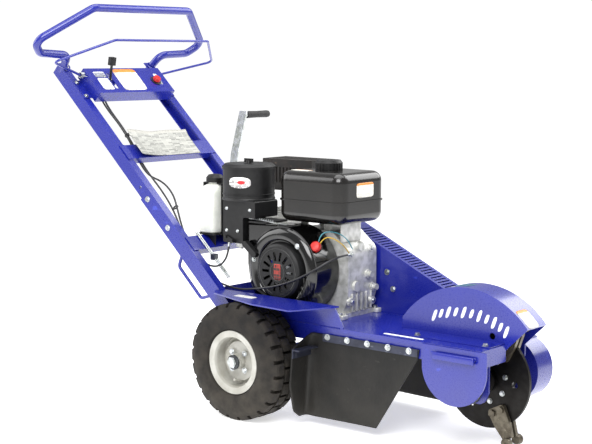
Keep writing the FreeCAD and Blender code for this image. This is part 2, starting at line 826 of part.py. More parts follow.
def make_crossbars():
    """Folded cross members that tie the upper rails and the lower rails together."""
    inner = size("rail_side") - size("rail_width")
    half = inner - size("fit_gap")
    upper_lift = size("rail_depth") / 2.0 + 3.0
    bars = []
    for name, run, width, lift in (("MidBar", 180.0, 58.0, upper_lift),
                                   ("LowBar", size("low_bar_run"), 54.0, low_bar_lift())):
        body = new_body(name)
        plate = rectangle(0.0, -3.0, width, 0.0)
        lip = rectangle(width - 3.0, -24.0, width, 0.0)
        reach = inner + 20.0
        add_pad(body, "XZ", [plate], -reach, "%f" % (2.0 * reach))
        add_pad(body, "XZ", [lip], -half, "%f" % (2.0 * half))
        body.Placement = rail_placement(run, lift, 0.0)
        bars.append(body)
    node(group("RailCrossbars", *bars), "rail_crossbars")


def low_bar_lift():
    """Height of the lower cross member's top face over the rail centre line."""
    return size("rail_depth") / 2.0 + 2.0 * size("rail_wall") + size("fit_gap")


def make_lift_handles():
    """Rod loops welded to the backs of the lower rails for lifting the machine."""
    side = size("rail_side") + size("rail_wall") + size("fit_gap") - 8.0
    back = -size("rail_depth") / 2.0 - size("rail_wall") - size("fit_gap")
    loops = []
    for sign in (-1, 1):
        y = sign * side
        points = [rail_point(600.0, back - 2.0, y), rail_point(612.0, back - 34.0, y),
                  rail_point(740.0, back - 34.0, y), rail_point(758.0, back - 2.6, y)]
        loops.append(feature("LiftLoop%d" % sign, bent_rod(points, 5.0, 14.0)))
    node(group("LiftHandles", *loops), "lift_handles")


# ---------------------------------------------------------------- cutter


def hood_outline(radius, drop):
    """Side view of the hood: an arc over the cutter, open below and in front."""
    centre = (size("hood_x"), size("hood_z"))
    floor = size("deck_top")
    rear_angle = 180.0 - math.degrees(math.asin((floor + 32.0 - centre[1]) / radius))
    rear = polar(centre, radius, rear_angle)
    front = polar(centre, radius, 40.0)
    crown = polar(centre, radius, (rear_angle + 40.0) / 2.0)
    return [(rear[0] - drop, floor - drop), (rear[0], rear[1]), (crown, front),
            (size("deck_front") - 5.0 + drop, floor - 19.0 - drop),
            (size("deck_front") - 30.0, floor - 19.0 - drop), (560.0, floor - drop)]


def make_hood():
    """Sheet hood over the cutter: two side plates, a curved top and bolted flanges."""
    width = size("hood_width")
    near = size("cutter_y") - width / 2.0
    wall = size("hood_sheet")
    outer = padded("HoodOuter", "XZ", [hood_outline(size("hood_radius"), 0.0)], near,
                   cell("hood_width"))
    centre = (size("hood_x"), size("hood_z"))
    radius = size("hood_radius") - wall
    inner_top = [polar(centre, radius, 145.5), (polar(centre, radius, 90.0),
                                                polar(centre, radius, 36.0)),
                 (size("deck_front") + 90.0, 150.0), (centre[0] - 207.0 + wall, 150.0),
                 (centre[0] - 207.0 + wall, size("deck_top") + 10.0)]
    inner = padded("HoodInner", "XZ", [inner_top], near + wall,
                   "%s - 2 * %s" % (cell("hood_width"), cell("hood_sheet")))
    hole = rod("HoodHole", (708.0, near - 1.0, 300.0), (0, 1, 0), 9.0, wall + 2.0)
    shell = cut("HoodShell", outer, inner, hole)
    floor = size("deck_top")
    flange = rounded(rectangle(424.0, near - 72.0, size("deck_front") - 4.0, near + 1.0),
                     [6.0, 6.0, 0, 0])
    near_flange = padded("HoodFlange", "XY", [flange], floor, cell("hood_sheet"))
    far = near + width
    strip = rectangle(424.0, far - 1.0, size("deck_front") - 4.0, far + 26.0)
    far_flange = padded("HoodFarFlange", "XY", [strip], floor, cell("hood_sheet"))
    node(fuse("CutterHood", shell, near_flange, far_flange), "cutter_hood")


def make_side_guard():
    """Rounded plate on the deck's right edge that shields the cutter, with a pressed rib."""
    centre = (668.0, 228.0)
    reach = 100.0
    top = size("deck_top") - 2.0
    plate = [(centre[0] - reach, top), (centre[0] - reach, centre[1]),
             (polar(centre, reach, 270), (centre[0] + reach, centre[1])),
             (centre[0] + reach, top)]
    face = -size("deck_half") - size("deck_sheet")
    body = padded("SideGuardPlate", "XZ", [plate], face, cell("deck_sheet"))
    rib = rod("SideGuardRib", (centre[0] - 70.0, face, top - 20.0), (1, 0, 0),
              cell("deck_sheet"), 140.0)
    node(fuse("SideGuard", body, rib), "side_guard")


def tooth_stations():
    """Angles of the three tooth stations, in the turning direction from straight down."""
    return [size("tooth_angle") + 120.0 * k for k in range(3)]


def make_cutter_disc():
    """Cutter disc with its hub flange, tooth bolt holes and lightening holes."""
    centre = (size("cutter_x"), size("cutter_z"))
    bore = (centre[0], centre[1], size("shaft_radius"))
    holes = []
    for station in tooth_stations():
        for spread in (-9.0, 9.0):
            x, z = polar(centre, 92.0, station - 90.0 + spread)
            holes.append((x, z, 6.0))
        x, z = polar(centre, 88.0, station - 90.0 + 60.0)
        holes.append((x, z, 9.0))
    low = size("cutter_y") - size("disc_thick") / 2.0
    outer = (centre[0], centre[1], size("disc_radius"))
    disc = padded("DiscPlate", "XZ", [outer, bore] + holes, low, cell("disc_thick"))
    hub = padded("DiscHub", "XZ", [(centre[0], centre[1], 34.0), bore], low - 14.0,
                 "%s + 28" % cell("disc_thick"))
    node(fuse("CutterDisc", disc, hub), "cutter_disc")


def make_teeth():
    """Bolted pocket arms with round carbide-tipped teeth on both sides of the disc."""
    centre = (size("cutter_x"), size("cutter_z"))
    tip = size("tip_radius")
    reach = tip + (size("cutter_z") - tip) / math.cos(math.radians(size("tooth_angle")))
    half_disc = size("disc_thick") / 2.0
    parts = []
    for index, station in enumerate(tooth_stations()):
        for side in (-1, 1):
            name = "Tooth%d%d" % (index, side + 1)
            arm = rounded([(-27.0, 78.0), (27.0, 78.0), (24.0, 128.0), (14.0, reach - 22.0),
                           (-14.0, reach - 22.0), (-24.0, 128.0)], [10, 10, 8, 6, 6, 8])
            low = half_disc if side > 0 else -half_disc - 12.0
            plate = padded(name + "Arm", "XZ", [arm], low, "12")
            tip_y = side * (half_disc + 12.0)
            tooth_tip = turned(name + "Tip",
                               [(0, 0), (tip - 2.0, 0), (tip, 12.0), (tip, 17.0),
                                (tip - 5.0, 19.0), (0, 17.0)],
                               (0, tip_y, reach - tip), Vector(0, side, 0))
            bolts = []
            for spread in (-9.0, 9.0):
                x, z = polar((0, 0), 92.0, 90.0 + spread)
                head = doc.addObject("Part::Prism", name + "Bolt%d" % spread)
                head.Polygon = 6
                head.Circumradius = 10.0
                head.Height = 7.0
                head.Placement = Placement(Vector(x, tip_y, z),
                                           Rotation(Z_AXIS, Vector(0, side, 0)))
                bolts.append(head)
            tooth = fuse(name, plate, tooth_tip, *bolts)
            turn = Rotation(Y_AXIS, -(station - 180.0))
            tooth.Placement = Placement(Vector(centre[0], size("cutter_y"), centre[1]), turn)
            parts.append(tooth)
    node(group("CutterTeeth", *parts), "cutter_teeth")


def make_cutter_shaft():
    """Cutter shaft from the near bearing to the driven pulley."""
    near = -size("bearing_plane") - 14.0
    length = size("guard_outer") - 8.0 - near
    x = size("cutter_x")
    z = size("cutter_z")
    bar = rod("ShaftBar", (x, near, z), (0, 1, 0), cell("shaft_radius"), length)
    node(bar, "cutter_shaft")


def make_bearings():
    """Flange bearing housings bolted to the bearing plates."""
    x = size("cutter_x")
    z = size("cutter_z")
    bore = size("shaft_radius") + size("running_gap")
    radius = size("bearing_radius")
    thick = size("bearing_thick")
    profile = [(bore, 0), (radius + 14.0, 0), (radius + 14.0, 7.0), (radius, 10.0),
               (radius - 8.0, thick), (bore, thick)]
    near = -size("bearing_plane")
    far = slot_far_side() + size("deck_sheet") + 14.0
    first = turned("BearingNear", profile, (x, near, z), Vector(0, -1, 0))
    second = turned("BearingFar", profile, (x, far, z), Vector(0, -1, 0))
    node(group("CutterBearings", first, second), "cutter_bearings")


# ---------------------------------------------------------------- belt drive


def belt_centres():
    """Crank and cutter shaft centres in side view."""
    return (size("crank_x"), size("crank_z")), (size("cutter_x"), size("cutter_z"))


def tangent_angle(a, b, radius_a, radius_b, above):
    """Angle of the outer tangent's contact points on two circles."""
    dx = b[0] - a[0]
    dz = b[1] - a[1]
    lean = math.degrees(math.atan2(dz, dx))
    spread = math.degrees(math.acos((radius_a - radius_b) / math.hypot(dx, dz)))
    return lean + spread if above else lean - spread


def pulley(name, pitch, bore, side_hub):
    """V-belt pulley with one groove and a hub."""
    rim = pitch + 3.0
    half = size("belt_width") / 2.0 + 5.0
    root = pitch - size("belt_thick") - 3.0
    mouth = size("belt_width") / 2.0 + 1.0
    profile = [(bore, -half - side_hub), (bore + 12.0, -half - side_hub), (bore + 12.0, -half),
               (rim, -half), (rim, -mouth), (root, -mouth + 0.5), (root, mouth - 0.5),
               (rim, mouth), (rim, half), (bore, half)]
    return profile


def make_pulleys():
    """Driving pulley on the crankshaft and driven pulley on the cutter shaft."""
    crank, cutter = belt_centres()
    y = size("belt_y")
    drive = turned("DrivePulley", pulley("drive", size("drive_pitch"), size("crank_radius"),
                                         14.0), (crank[0], y, crank[1]), Y_AXIS)
    node(drive, "drive_pulley")
    driven = turned("DrivenPulley", pulley("driven", size("driven_pitch"),
                                           size("shaft_radius"), 14.0),
                    (cutter[0], y, cutter[1]), Y_AXIS)
    node(driven, "driven_pulley")


def idler_centre():
    """Idler pulley centre, pressing the upper run outwards from inside the belt."""
    crank, cutter = belt_centres()
    angle = tangent_angle(crank, cutter, size("drive_pitch"), size("driven_pitch"), True)
    a = polar(crank, size("drive_pitch"), angle)
    b = polar(cutter, size("driven_pitch"), angle)
    share = 0.42
    x = a[0] + (b[0] - a[0]) * share
    z = a[1] + (b[1] - a[1]) * share
    return polar((x, z), 8.0 - idler_pitch(), angle)


def idler_pitch():
    """Radius of the belt's pitch line where it bends round the idler."""
    return size("idler_radius") + size("fit_gap") + size("belt_thick") - size("belt_cover")


def belt_face(inset):
    """Side view inside a line at an inset from the belt's pitch line, as a face."""
    crank, cutter = belt_centres()
    idler = idler_centre()
    drive = size("drive_pitch") + inset
    driven = size("driven_pitch") + inset
    idle = idler_pitch() + inset
    rear = tangent_angle(crank, idler, drive, idle, True)
    fore = tangent_angle(idler, cutter, idle, driven, True)
    lower = tangent_angle(crank, cutter, drive, driven, False)
    outline = [polar(crank, drive, rear), polar(idler, idle, rear),
               (polar(idler, idle, (rear + fore) / 2.0), polar(idler, idle, fore)),
               polar(cutter, driven, fore),
               (polar(cutter, driven, (fore + lower) / 2.0), polar(cutter, driven, lower)),
               polar(crank, drive, lower),
               (polar(crank, drive, (rear + lower) / 2.0 + 180.0), polar(crank, drive, rear))]
    return Part.Face(Part.Wire([e.toShape() for e in edges_of(outline)]))


def make_belt():
    """Flat-backed drive belt round both pulleys, with the idler pressed on its back."""
    outer = belt_face(size("belt_cover"))
    inner = belt_face(size("belt_cover") - size("belt_thick"))
    ring = outer.cut(inner)
    ring.rotate(Vector(0, 0, 0), X_AXIS, 90)
    width = size("belt_width")
    shape = ring.extrude(Vector(0, -width, 0))
    shape.translate(Vector(0, size("belt_y") + width / 2.0, 0))
    node(feature("DriveBelt", shape), "drive_belt")


def make_idler():
    """Idler pulley on its swinging arm."""
    centre = idler_centre()
    y = size("belt_y")
    radius = size("idler_radius")
    half = size("belt_width") / 2.0 + 3.0
    bore = 6.0 + 2.0 * size("running_gap")
    profile = [(bore, -half), (radius + 3.0, -half), (radius + 3.0, -half + 2.0),
               (radius, -half + 2.0), (radius, half - 2.0), (radius + 3.0, half - 2.0),
               (radius + 3.0, half), (bore, half)]
    node(turned("IdlerPulley", profile, (centre[0], y, centre[1]), Y_AXIS), "idler_pulley")
    pivot = idler_pivot()
    low = size("guard_inner") + size("guard_sheet") + 4.0
    dx = centre[0] - pivot[0]
    dz = centre[1] - pivot[1]
    length = math.hypot(dx, dz)
    arm_outline = [(0, -13.0), (length, -13.0), ((length + 13.0, 0), (length, 13.0)),
                   (0, 13.0), ((-13.0, 0), (0, -13.0))]
    arm = padded("IdlerBar", "XZ", [arm_outline], 0.0, "6")
    arm.Placement = Placement(Vector(pivot[0], low, pivot[1]),
                              Rotation(Y_AXIS, -math.degrees(math.atan2(dz, dx))))
    pin = rod("IdlerPin", (centre[0], low, centre[1]), (0, 1, 0), 6.0, y + half + 3.0 - low)
    head = rod("IdlerPinHead", (centre[0], y + half + 1.0, centre[1]), (0, 1, 0), 10.0, 4.0)
    spacer = rod("IdlerSpacer", (centre[0], low, centre[1]), (0, 1, 0), 10.0,
                 y - half - 1.0 - low)
    joined = fuse("IdlerArmParts", arm, pin, head, spacer)
    bore_cut = rod("IdlerArmBore", (pivot[0], low - 1.0, pivot[1]), (0, 1, 0),
                   8.0 + size("running_gap"), 8.0)
    node(cut("IdlerArm", joined, bore_cut), "idler_arm")


def idler_pivot():
    """Idler arm pivot on the belt guard's inner plate, as (x, z)."""
    centre = idler_centre()
    return (centre[0] - 84.0, centre[1] - 20.0)


def guard_outline(inset):
    """Side view of the belt guard at an inset from its skin."""
    crank, cutter = belt_centres()
    cutter = (cutter[0], cutter[1] + 6.0)
    rear = size("guard_rear_radius") - inset
    front = size("guard_front_radius") - inset
    angle = tangent_angle(crank, cutter, rear, front, True)
    floor = size("deck_top") + inset
    low_start = size("guard_start") + inset
    low_angle = 250.0
    return [(crank[0] - rear, floor), (crank[0] - rear, crank[1]),
            (polar(crank, rear, (180.0 + angle) / 2.0), polar(crank, rear, angle)),
            polar(cutter, front, angle),
            (polar(cutter, front, (angle + low_angle - 360.0) / 2.0),
             polar(cutter, front, low_angle)),
            (low_start, floor)]


def make_belt_guard():
    """Two-plate belt guard with a slotted top, open where the belt shafts pass."""
    low = size("guard_inner")
    high = size("guard_outer")
    wall = size("guard_sheet")
    outer = padded("GuardOuter", "XZ", [guard_outline(0.0)], low,
                   "%s - %s" % (cell("guard_outer"), cell("guard_inner")))
    inner = padded("GuardInner", "XZ", [guard_outline(wall)], low + wall,
                   "%s - %s - 2 * %s" % (cell("guard_outer"), cell("guard_inner"),
                                         cell("guard_sheet")))
    crank, cutter = belt_centres()
    crank_hole = rod("GuardCrankHole", (crank[0], low - 1.0, crank[1]), (0, 1, 0), 45.0,
                     wall + 2.0)
    shaft_hole = rod("GuardShaftHole", (cutter[0], low - 1.0, cutter[1]), (0, 1, 0), 34.0,
                     wall + 2.0)
    skin_angle = tangent_angle(crank, (cutter[0], cutter[1] + 6.0),
                               size("guard_rear_radius"), size("guard_front_radius"), True)
    start = polar(crank, size("guard_rear_radius"), skin_angle)
    slope = 90.0 - skin_angle
    slots = []
    for k in range(27):
        slot = Part.makeBox(5.0, high - low - 22.0, 3.0 * wall,
                            Vector(28.0 + 13.0 * k, 11.0, -2.0 * wall))
        slots.append(slot)
    for k in range(5):
        vent = Part.makeBox(5.0, 3.0 * wall, 44.0 - 6.0 * abs(k - 2),
                            Vector(262.0 + 13.0 * k, -wall, -215.0 + 5.0 * k))
        slots.append(vent)
    slot_tool = feature("GuardSlots", Part.Compound(slots))
    slot_tool.Placement = Placement(Vector(start[0], low, start[1]), Rotation(Y_AXIS, slope))
    shell = cut("GuardShell", outer, inner, crank_hole, shaft_hole, slot_tool)
    pivot = idler_pivot()
    stud = rod("IdlerStud", (pivot[0], low + wall - 1.0, pivot[1]), (0, 1, 0), 8.0, 16.0)
    collar = rod("IdlerCollar", (pivot[0], low + wall - 1.0, pivot[1]), (0, 1, 0), 14.0, 4.7)
    node(fuse("BeltGuard", shell, stud, collar), "belt_guard")


# ---------------------------------------------------------------- flaps and fasteners


def make_flaps():
    """Rubber debris curtains on both sides of the deck, held by steel strips."""
    top = size("deck_top") - 19.0
    strip_low = top - 22.0
    y = -size("deck_half") - size("flap_thick")
    thick = cell("flap_thick")
    curtain = rounded([(238.0, strip_low + 22.0), (560.0, strip_low + 22.0),
                       (556.0, strip_low - 4.0), (420.0, 26.0), (225.0, 26.0),
                       (205.0, 150.0)], [0, 0, 0, 12, 12, 0])
    curtain_body = padded("Curtain", "XZ", [curtain], y, thick)
    wing = rounded([(y, 26.0), (y - 62.0, 44.0), (y - 86.0, 120.0), (y - 82.0, 225.0),
                    (y, 225.0)], [0, 10, 0, 4, 0])
    wing_body = padded("CurtainWing", "YZ", [wing], 186.0, thick)
    tab = padded("WingTab", "XZ", [rectangle(186.0, 150.0, 245.0, 240.0)], y, thick)
    right = node(fuse("FlapRight", curtain_body, wing_body, tab), "debris_flap_right")
    node(mirror("FlapLeft", right), "debris_flap_left", mirrored=True)
    strips = []
    for side in (-1, 1):
        low = y - 3.0 if side < 0 else -y
        name = "Strip%d" % side
        strips.append(padded(name, "XZ", [rectangle(234.0, strip_low, 556.0, top - 1.0)],
                             low, "3"))
    for side in (-1, 1):
        low = y - 84.0 if side < 0 else -y
        arm = box("WingArm%d" % side, (191.2, low, 222.0), (217.0, low + 84.0, 226.0))
        lip = box("WingLip%d" % side, (191.2, low, 200.0), (195.0, low + 84.0, 223.0))
        strips.append(fuse("WingBracket%d" % side, arm, lip))
    node(group("FlapStrips", *strips), "flap_strips")


def make_bolts():
    """Zinc fasteners of the strips, hood, rails and guard plates."""
    heads = []
    y = -size("deck_half") - size("flap_thick") - 3.0
    for k in range(5):
        for side in (-1, 1):
            place = (252.0 + 69.3 * k, -side * y, 256.0)
            if side > 0 and k > 4:
                continue
            heads.append(bolt_head("StripBolt%d_%d" % (k, side + 1), place, (0, side, 0)))
    near = size("cutter_y") - size("hood_width") / 2.0
    for k, x in enumerate((510.0, 724.0)):
        heads.append(bolt_head("HoodBolt%d" % k,
                               (x, near - 58.0, size("deck_top") + size("hood_sheet")),
                               (0, 0, 1)))
    outer = size("rail_side") + size("rail_wall") + size("fit_gap")
    for k, run in enumerate((size("lower_rail_start") + 21.0,
                             size("lower_rail_start") + 140.0)):
        for side in (-1, 1):
            place = rail_point(run, 0.0, side * outer)
            heads.append(bolt_head("RailBolt%d_%d" % (k, side + 1), place, (0, side, 0)))
    guard_face = size("guard_inner")
    for k, place in enumerate(((266.0, 356.0), (244.0, 404.0))):
        heads.append(bolt_head("GuardBolt%d" % k, (place[0], guard_face, place[1]),
                               (0, -1, 0)))
    node(group("FrameBolts", *heads), "frame_bolts")


# ---------------------------------------------------------------- engine


def crankcase_outline():
    """Side view of the crankcase casting above its foot."""
    floor = size("deck_top")
    return rounded([(-66.0, floor + 6.0), (190.0, floor + 6.0), (212.0, floor + 60.0),
                    (212.0, floor + 196.0), (150.0, floor + 247.0), (10.0, floor + 247.0),
                    (-66.0, floor + 170.0)], [0, 0, 14, 26, 26, 26, 20])


def make_crankcase():
    """Cast crankcase with its mounting foot, and the bolted cover on the belt side."""
    near = size("crankcase_near")
    floor = size("deck_top")
    depth = "%s - %s" % (cell("crankcase_far"), cell("crankcase_near"))
    foot = rectangle(-92.0, floor, 206.0, floor + 13.0)
    block = crankcase_outline()
    crank = (size("crank_x"), size("crank_z"), size("crank_radius") + size("running_gap"))
    body = new_body("Crankcase")
    add_pad(body, "XZ", [foot], near, depth)
    add_pad(body, "XZ", [block], near + 4.0, "%s - 4" % depth)
    add_pocket(body, "XZ", [(crank[0], crank[1], crank[2])], near - 1.0, "200")
    node(body, "crankcase")
    far = size("crankcase_far")
    cover = rounded([(-56.0, floor + 18.0), (196.0, floor + 18.0), (196.0, floor + 200.0),
                     (120.0, floor + 236.0), (-20.0, floor + 236.0), (-56.0, floor + 150.0)],
                    18.0)
    plate = padded("CrankCover", "XZ", [cover, crank], far, "8")
    boss = padded("CrankBoss", "XZ", [(crank[0], crank[1], 36.0), crank], far + 8.0, "6")
    node(fuse("CrankcaseCover", plate, boss), "crankcase_cover")


def make_cylinder():
    """Inclined finned cylinder and head, and the pressed rocker cover at its end."""
    crank = (size("crank_x"), size("crank_z"))
    tilt = 25.0
    core = box("CylinderCore", (-40.0, 0, 0), (128.0, 110.0, 96.0))
    fins = []
    for k in range(9):
        fins.append(box("Fin%d" % k, (14.0 + 13.0 * k, -8.0, -10.0),
                        (18.5 + 13.0 * k, 118.0, 106.0)))
    barrel = fuse("Cylinder", core, *fins)
    start = polar(crank, 122.0, 180.0 - tilt)
    low = polar(start, 48.0, 270.0 - tilt)
    turn = Rotation(Vector(0, 1, 0), tilt).multiply(Rotation(Z_AXIS, 180.0))
    placement = Placement(Vector(low[0], size("crankcase_near") + 124.0, low[1]), turn)
    barrel.Placement = placement
    case_room = padded("CaseRoom", "XZ", [crankcase_outline()], -200.0, "400")
    node(cut("CylinderBlock", barrel, case_room), "cylinder_block")
    cover = padded("RockerCover", "YZ", [rounded(rectangle(4.0, 4.0, 106.0, 92.0), 14.0)],
                   0.0, "34")
    cover.Placement = placement.multiply(Placement(Vector(128.0, 0, 0), Rotation()))
    node(cover, "rocker_cover")


def fan_outline(inset):
    """Front view of the fan cover: a drum with a duct towards the cylinder."""
    crank = (size("crank_x"), size("crank_z"))
    radius = size("fan_radius") - inset
    top = polar(crank, radius, 100.0)
    low = polar(crank, radius, 186.0)
    return [top, (-82.0 + inset, top[1] - 4.0), (-82.0 + inset, low[1] + 24.0), low,
            (polar(crank, radius, 337.0), top)]


def make_fan_cover():
    """Pressed fan cover, open at the back, with the recoil opening in its face."""
    face = size("fan_face")
    depth = "%s - %s" % (cell("fan_back"), cell("fan_face"))
    outer = padded("FanOuter", "XZ", [fan_outline(0.0)], face, depth)
    inner = padded("FanInner", "XZ", [fan_outline(3.0)], face + 3.0, "200")
    opening = rod("FanOpening", (size("crank_x"), face - 1.0, size("crank_z")), (0, 1, 0),
                  62.0, 6.0)
    node(cut("FanCover", outer, inner, opening), "fan_cover")
    recoil = size("recoil_radius")
    depth_mm = size("fan_face") - size("recoil_face")
    profile = [(0, depth_mm - 3.0), (recoil - 12.0, depth_mm - 3.0), (recoil - 3.0, 0),
               (recoil, 0), (recoil - 6.0, depth_mm - 4.0), (recoil - 12.0, depth_mm),
               (0, depth_mm)]
    dome = turned("RecoilDome", profile, (size("crank_x"), face, size("crank_z")),
                  Vector(0, -1, 0))
    slots = []
    for k in range(14):
        angle = 360.0 / 14 * k
        slot = Part.makeBox(26.0, 8.0, 30.0, Vector(32.0, -4.0, 1.0))
        slots.append(slot.rotate(Vector(0, 0, 0), Z_AXIS, angle))
    tool = feature("RecoilSlots", Part.Compound(slots))
    tool.Placement = dome.Placement
    node(cut("RecoilCover", dome, tool), "recoil_cover")


def make_crankshaft():
    """Crankshaft from the flywheel to the driving pulley, and the finned flywheel."""
    x = size("crank_x")
    z = size("crank_z")
    start = size("fan_face") + 26.0
    journal = rod("CrankBar", (x, start, z), (0, 1, 0), cell("crank_radius"),
                  size("guard_outer") - 14.0 - start)
    node(journal, "crankshaft")
    profile = [(size("crank_radius"), 0), (98.0, 0), (98.0, 18.0), (40.0, 24.0),
               (size("crank_radius"), 24.0)]
    wheel = turned("FlywheelDisc", profile, (x, size("fan_back") - 4.0, z),
                   Vector(0, -1, 0))
    fins = []
    for k in range(16):
        fin = Part.makeBox(36.0, 4.0, 26.0, Vector(58.0, -2.0, 17.0))
        fins.append(fin.rotate(Vector(0, 0, 0), Z_AXIS, 360.0 / 16 * k))
    blades = feature("FlywheelFins", Part.Compound(fins))
    blades.Placement = wheel.Placement
    node(fuse("Flywheel", wheel, blades), "flywheel")


def make_starter_grip():
    """Starter grip resting in its guide on the fan cover."""
    grip = padded("GripBar", "XY", [rounded(rectangle(-31.0, -9.0, 31.0, 9.0), 8.5)], 0.0,
                  "16")
    stem = rod("GripStem", (0, 0, -7.0), (0, 0, 1), 6.0, 8.0)
    both = fuse("StarterGrip", grip, stem)
    both.Placement = Placement(Vector(-58.0, size("fan_face") - 7.3, 472.0),
                               Rotation(Z_AXIS, Vector(0, -1, 0)).multiply(
                                   Rotation(Z_AXIS, -38.0)))
    node(both, "starter_grip")


def make_tank():
    """Fuel tank with rounded edges and a seam lip, and its screw cap."""
    length = size("tank_length")
    width = size("tank_width")
    low = -115.0
    plan = rounded(rectangle(0.0, low, length, low + width), 34.0)
    body = new_body("FuelTank")
    block = add_pad(body, "XY", [plan], size("tank_bottom"), cell("tank_height"))
    doc.recompute()
    level = ["Edge%d" % index for index, edge in enumerate(block.Shape.Edges, start=1)
             if edge.BoundBox.ZLength < 0.1]
    fillet = body.newObject("PartDesign::Fillet", "TankFillet")
    fillet.Base = (block, level)
    fillet.Radius = size("tank_fillet")
    body.Tip = fillet
    seam_z = size("tank_bottom") + size("tank_height") * 0.42
    lip = rounded(rectangle(-4.0, low - 4.0, length + 4.0, low + width + 4.0), 38.0)
    seam = padded("TankSeam", "XY", [lip], seam_z, "4")
    x, y = cap_place()
    neck = rod("TankNeck", (x, y, size("tank_bottom") + size("tank_height") - 1.0),
               (0, 0, 1), 26.0, 9.0)
    node(fuse("Tank", body, seam, neck), "fuel_tank")
    profile = [(26.0 + size("fit_gap"), 0), (size("cap_radius"), 0),
               (size("cap_radius"), 20.0), (size("cap_radius") - 6.0, 28.0),
               (0, 30.0), (0, 12.0), (26.0 + size("fit_gap"), 12.0)]
    cap = turned("CapTurn", profile, (x, y, size("tank_bottom") + size("tank_height") + 0.5))
    ribs = []
    for k in range(24):
        groove = Part.makeBox(4.0, 3.6, 19.0, Vector(size("cap_radius") - 1.8, -1.8, -0.5))
        ribs.append(groove.rotate(Vector(0, 0, 0), Z_AXIS, 15.0 * k))
    tool = feature("CapGrooves", Part.Compound(ribs))
    tool.Placement = cap.Placement
    node(cut("FuelCap", cap, tool), "fuel_cap")


def cap_place():
    """Fuel cap centre in plan."""
    return (98.0, 6.0)


def make_air_cleaner():
    """Round air cleaner canister with a domed lid and wing nut."""
    centre = (-122.0, -100.0)
    radius = size("cleaner_radius")
    bottom = size("cleaner_bottom")
    tall = size("cleaner_height")
    canister = turned("CleanerCan", [(0, 0), (radius - 4.0, 0), (radius, 4.0), (radius, tall),
                                     (0, tall)], (centre[0], centre[1], bottom))
    node(canister, "air_cleaner_body")
    lid = turned("CleanerLid", [(0, 0), (radius + 3.0, 0), (radius + 3.0, 8.0),
                                (radius - 6.0, 16.0), (0, 16.0)],
                 (centre[0], centre[1], bottom + tall))
    nut = turned("WingNutHub", [(0, 0), (9.0, 0), (7.0, 9.0), (0, 9.0)],
                 (centre[0], centre[1], bottom + tall + 16.0))
    wing = box("WingNutWing", (centre[0] - 17.0, centre[1] - 2.0, bottom + tall + 18.0),
               (centre[0] + 17.0, centre[1] + 2.0, bottom + tall + 30.0))
    node(group("AirCleanerCover", lid, fuse("WingNut", nut, wing)), "air_cleaner_cover")


def make_carburettor():
    """Carburettor and its intake housing under the air cleaner, with the choke lever."""
    bottom = size("cleaner_bottom")
    choke = (-154.0, 500.0)
    housing = padded("IntakeHousing", "XZ",
                     [rounded([(-169.0, 484.0), (-90.0, 484.0), (-90.0, 562.0), (-42.0, 562.0),
                               (-42.0, bottom), (-169.0, bottom)], 6.0)], -162.0, "100")
    seat = rod("IntakeSeat", (-122.0, -100.0, bottom - 10.0), (0, 0, 1), 40.0, 10.0)
    pin = rod("ChokePin", (choke[0], -161.0, choke[1]), (0, -1, 0), 4.0, 10.0)
    elbow = rod("IntakeElbow", (-130.0, -70.0, 520.0), (0, 1, 0), 18.0, 26.0)
    node(fuse("Carburettor", housing, seat, pin, elbow), "carburettor")
    lever_outline = [(0, -6.0), (34.0, -4.0), ((38.0, 0), (34.0, 4.0)), (0, 6.0),
                     ((-6.0, 0), (0, -6.0))]
    blade = padded("ChokeBlade", "XZ", [lever_outline], 0.0, "3")
    blade.Placement = Placement(Vector(choke[0], -167.0, choke[1]), Rotation(Y_AXIS, 20.0))
    bore = rod("ChokeBore", (choke[0], -180.0, choke[1]), (0, 1, 0), 4.0 + size("running_gap"),
               20.0)
    knob = rod("ChokeKnob", (choke[0] + 30.0, -167.0, choke[1] - 10.5), (0, -1, 0), 5.0, 9.0)
    node(cut("ChokeLever", fuse("ChokeParts", blade, knob), bore), "choke_lever")


def make_muffler():
    """Box silencer on its exhaust stub, inside a slotted heat guard."""
    low = (-214.0, 84.0, 620.0)
    high = (-34.0, 176.0, 702.0)
    plan = rounded(rectangle(low[0], low[1], high[0], high[1]), 20.0)
    can = padded("MufflerCan", "XY", [plan], low[2], "%f" % (high[2] - low[2]))
    stub = rod("ExhaustStub", (-100.0, 104.0, 500.0), (0, 0, 1), 15.0, low[2] + 2.0 - 500.0)
    elbow = rod("ExhaustElbow", (-100.0, 104.0, 516.0), (0, -1, 0), 13.0, 22.0)
    outlet = rod("ExhaustOutlet", (high[0] - 4.0, 130.0, low[2] + 34.0), (1, 0, 0), 12.0, 26.0)
    node(fuse("Muffler", can, stub, elbow, outlet), "muffler")
    gap = 9.0
    wall = 2.0
    outer = box("GuardBox", (low[0] - gap, low[1] - gap, low[2] + 8.0),
                (high[0] + gap, high[1] + gap, high[2] + gap + 6.0))
    inner = box("GuardRoom", (low[0] - gap + wall, low[1] - gap + wall, low[2]),
                (high[0] + gap - wall, high[1] + gap - wall, high[2] + gap + 6.0 - wall))
    slots = []
    for k in range(13):
        x = low[0] + 3.0 + 14.0 * k
        slots.append(Part.makeBox(6.0, high[1] - low[1] - 14.0, 20.0,
                                  Vector(x, low[1] + 7.0, high[2] + 4.0)))
        slots.append(Part.makeBox(6.0, 240.0, 46.0, Vector(x, low[1] - 70.0, low[2] + 26.0)))
    tool = feature("MufflerSlots", Part.Compound(slots))
    pipe_hole = rod("OutletHole", (high[0], 130.0, low[2] + 34.0), (1, 0, 0),
                    12.0 + size("fit_gap"), 30.0)
    shell = cut("MufflerShell", outer, inner, tool, pipe_hole)
    lugs = [box("MufflerLug%d" % k, (x, 120.0, high[2]),
                (x + 8.0, 128.0, high[2] + gap + 5.0)) for k, x in enumerate((-186.0, -74.0))]
    node(fuse("MufflerGuard", shell, *lugs), "muffler_guard")


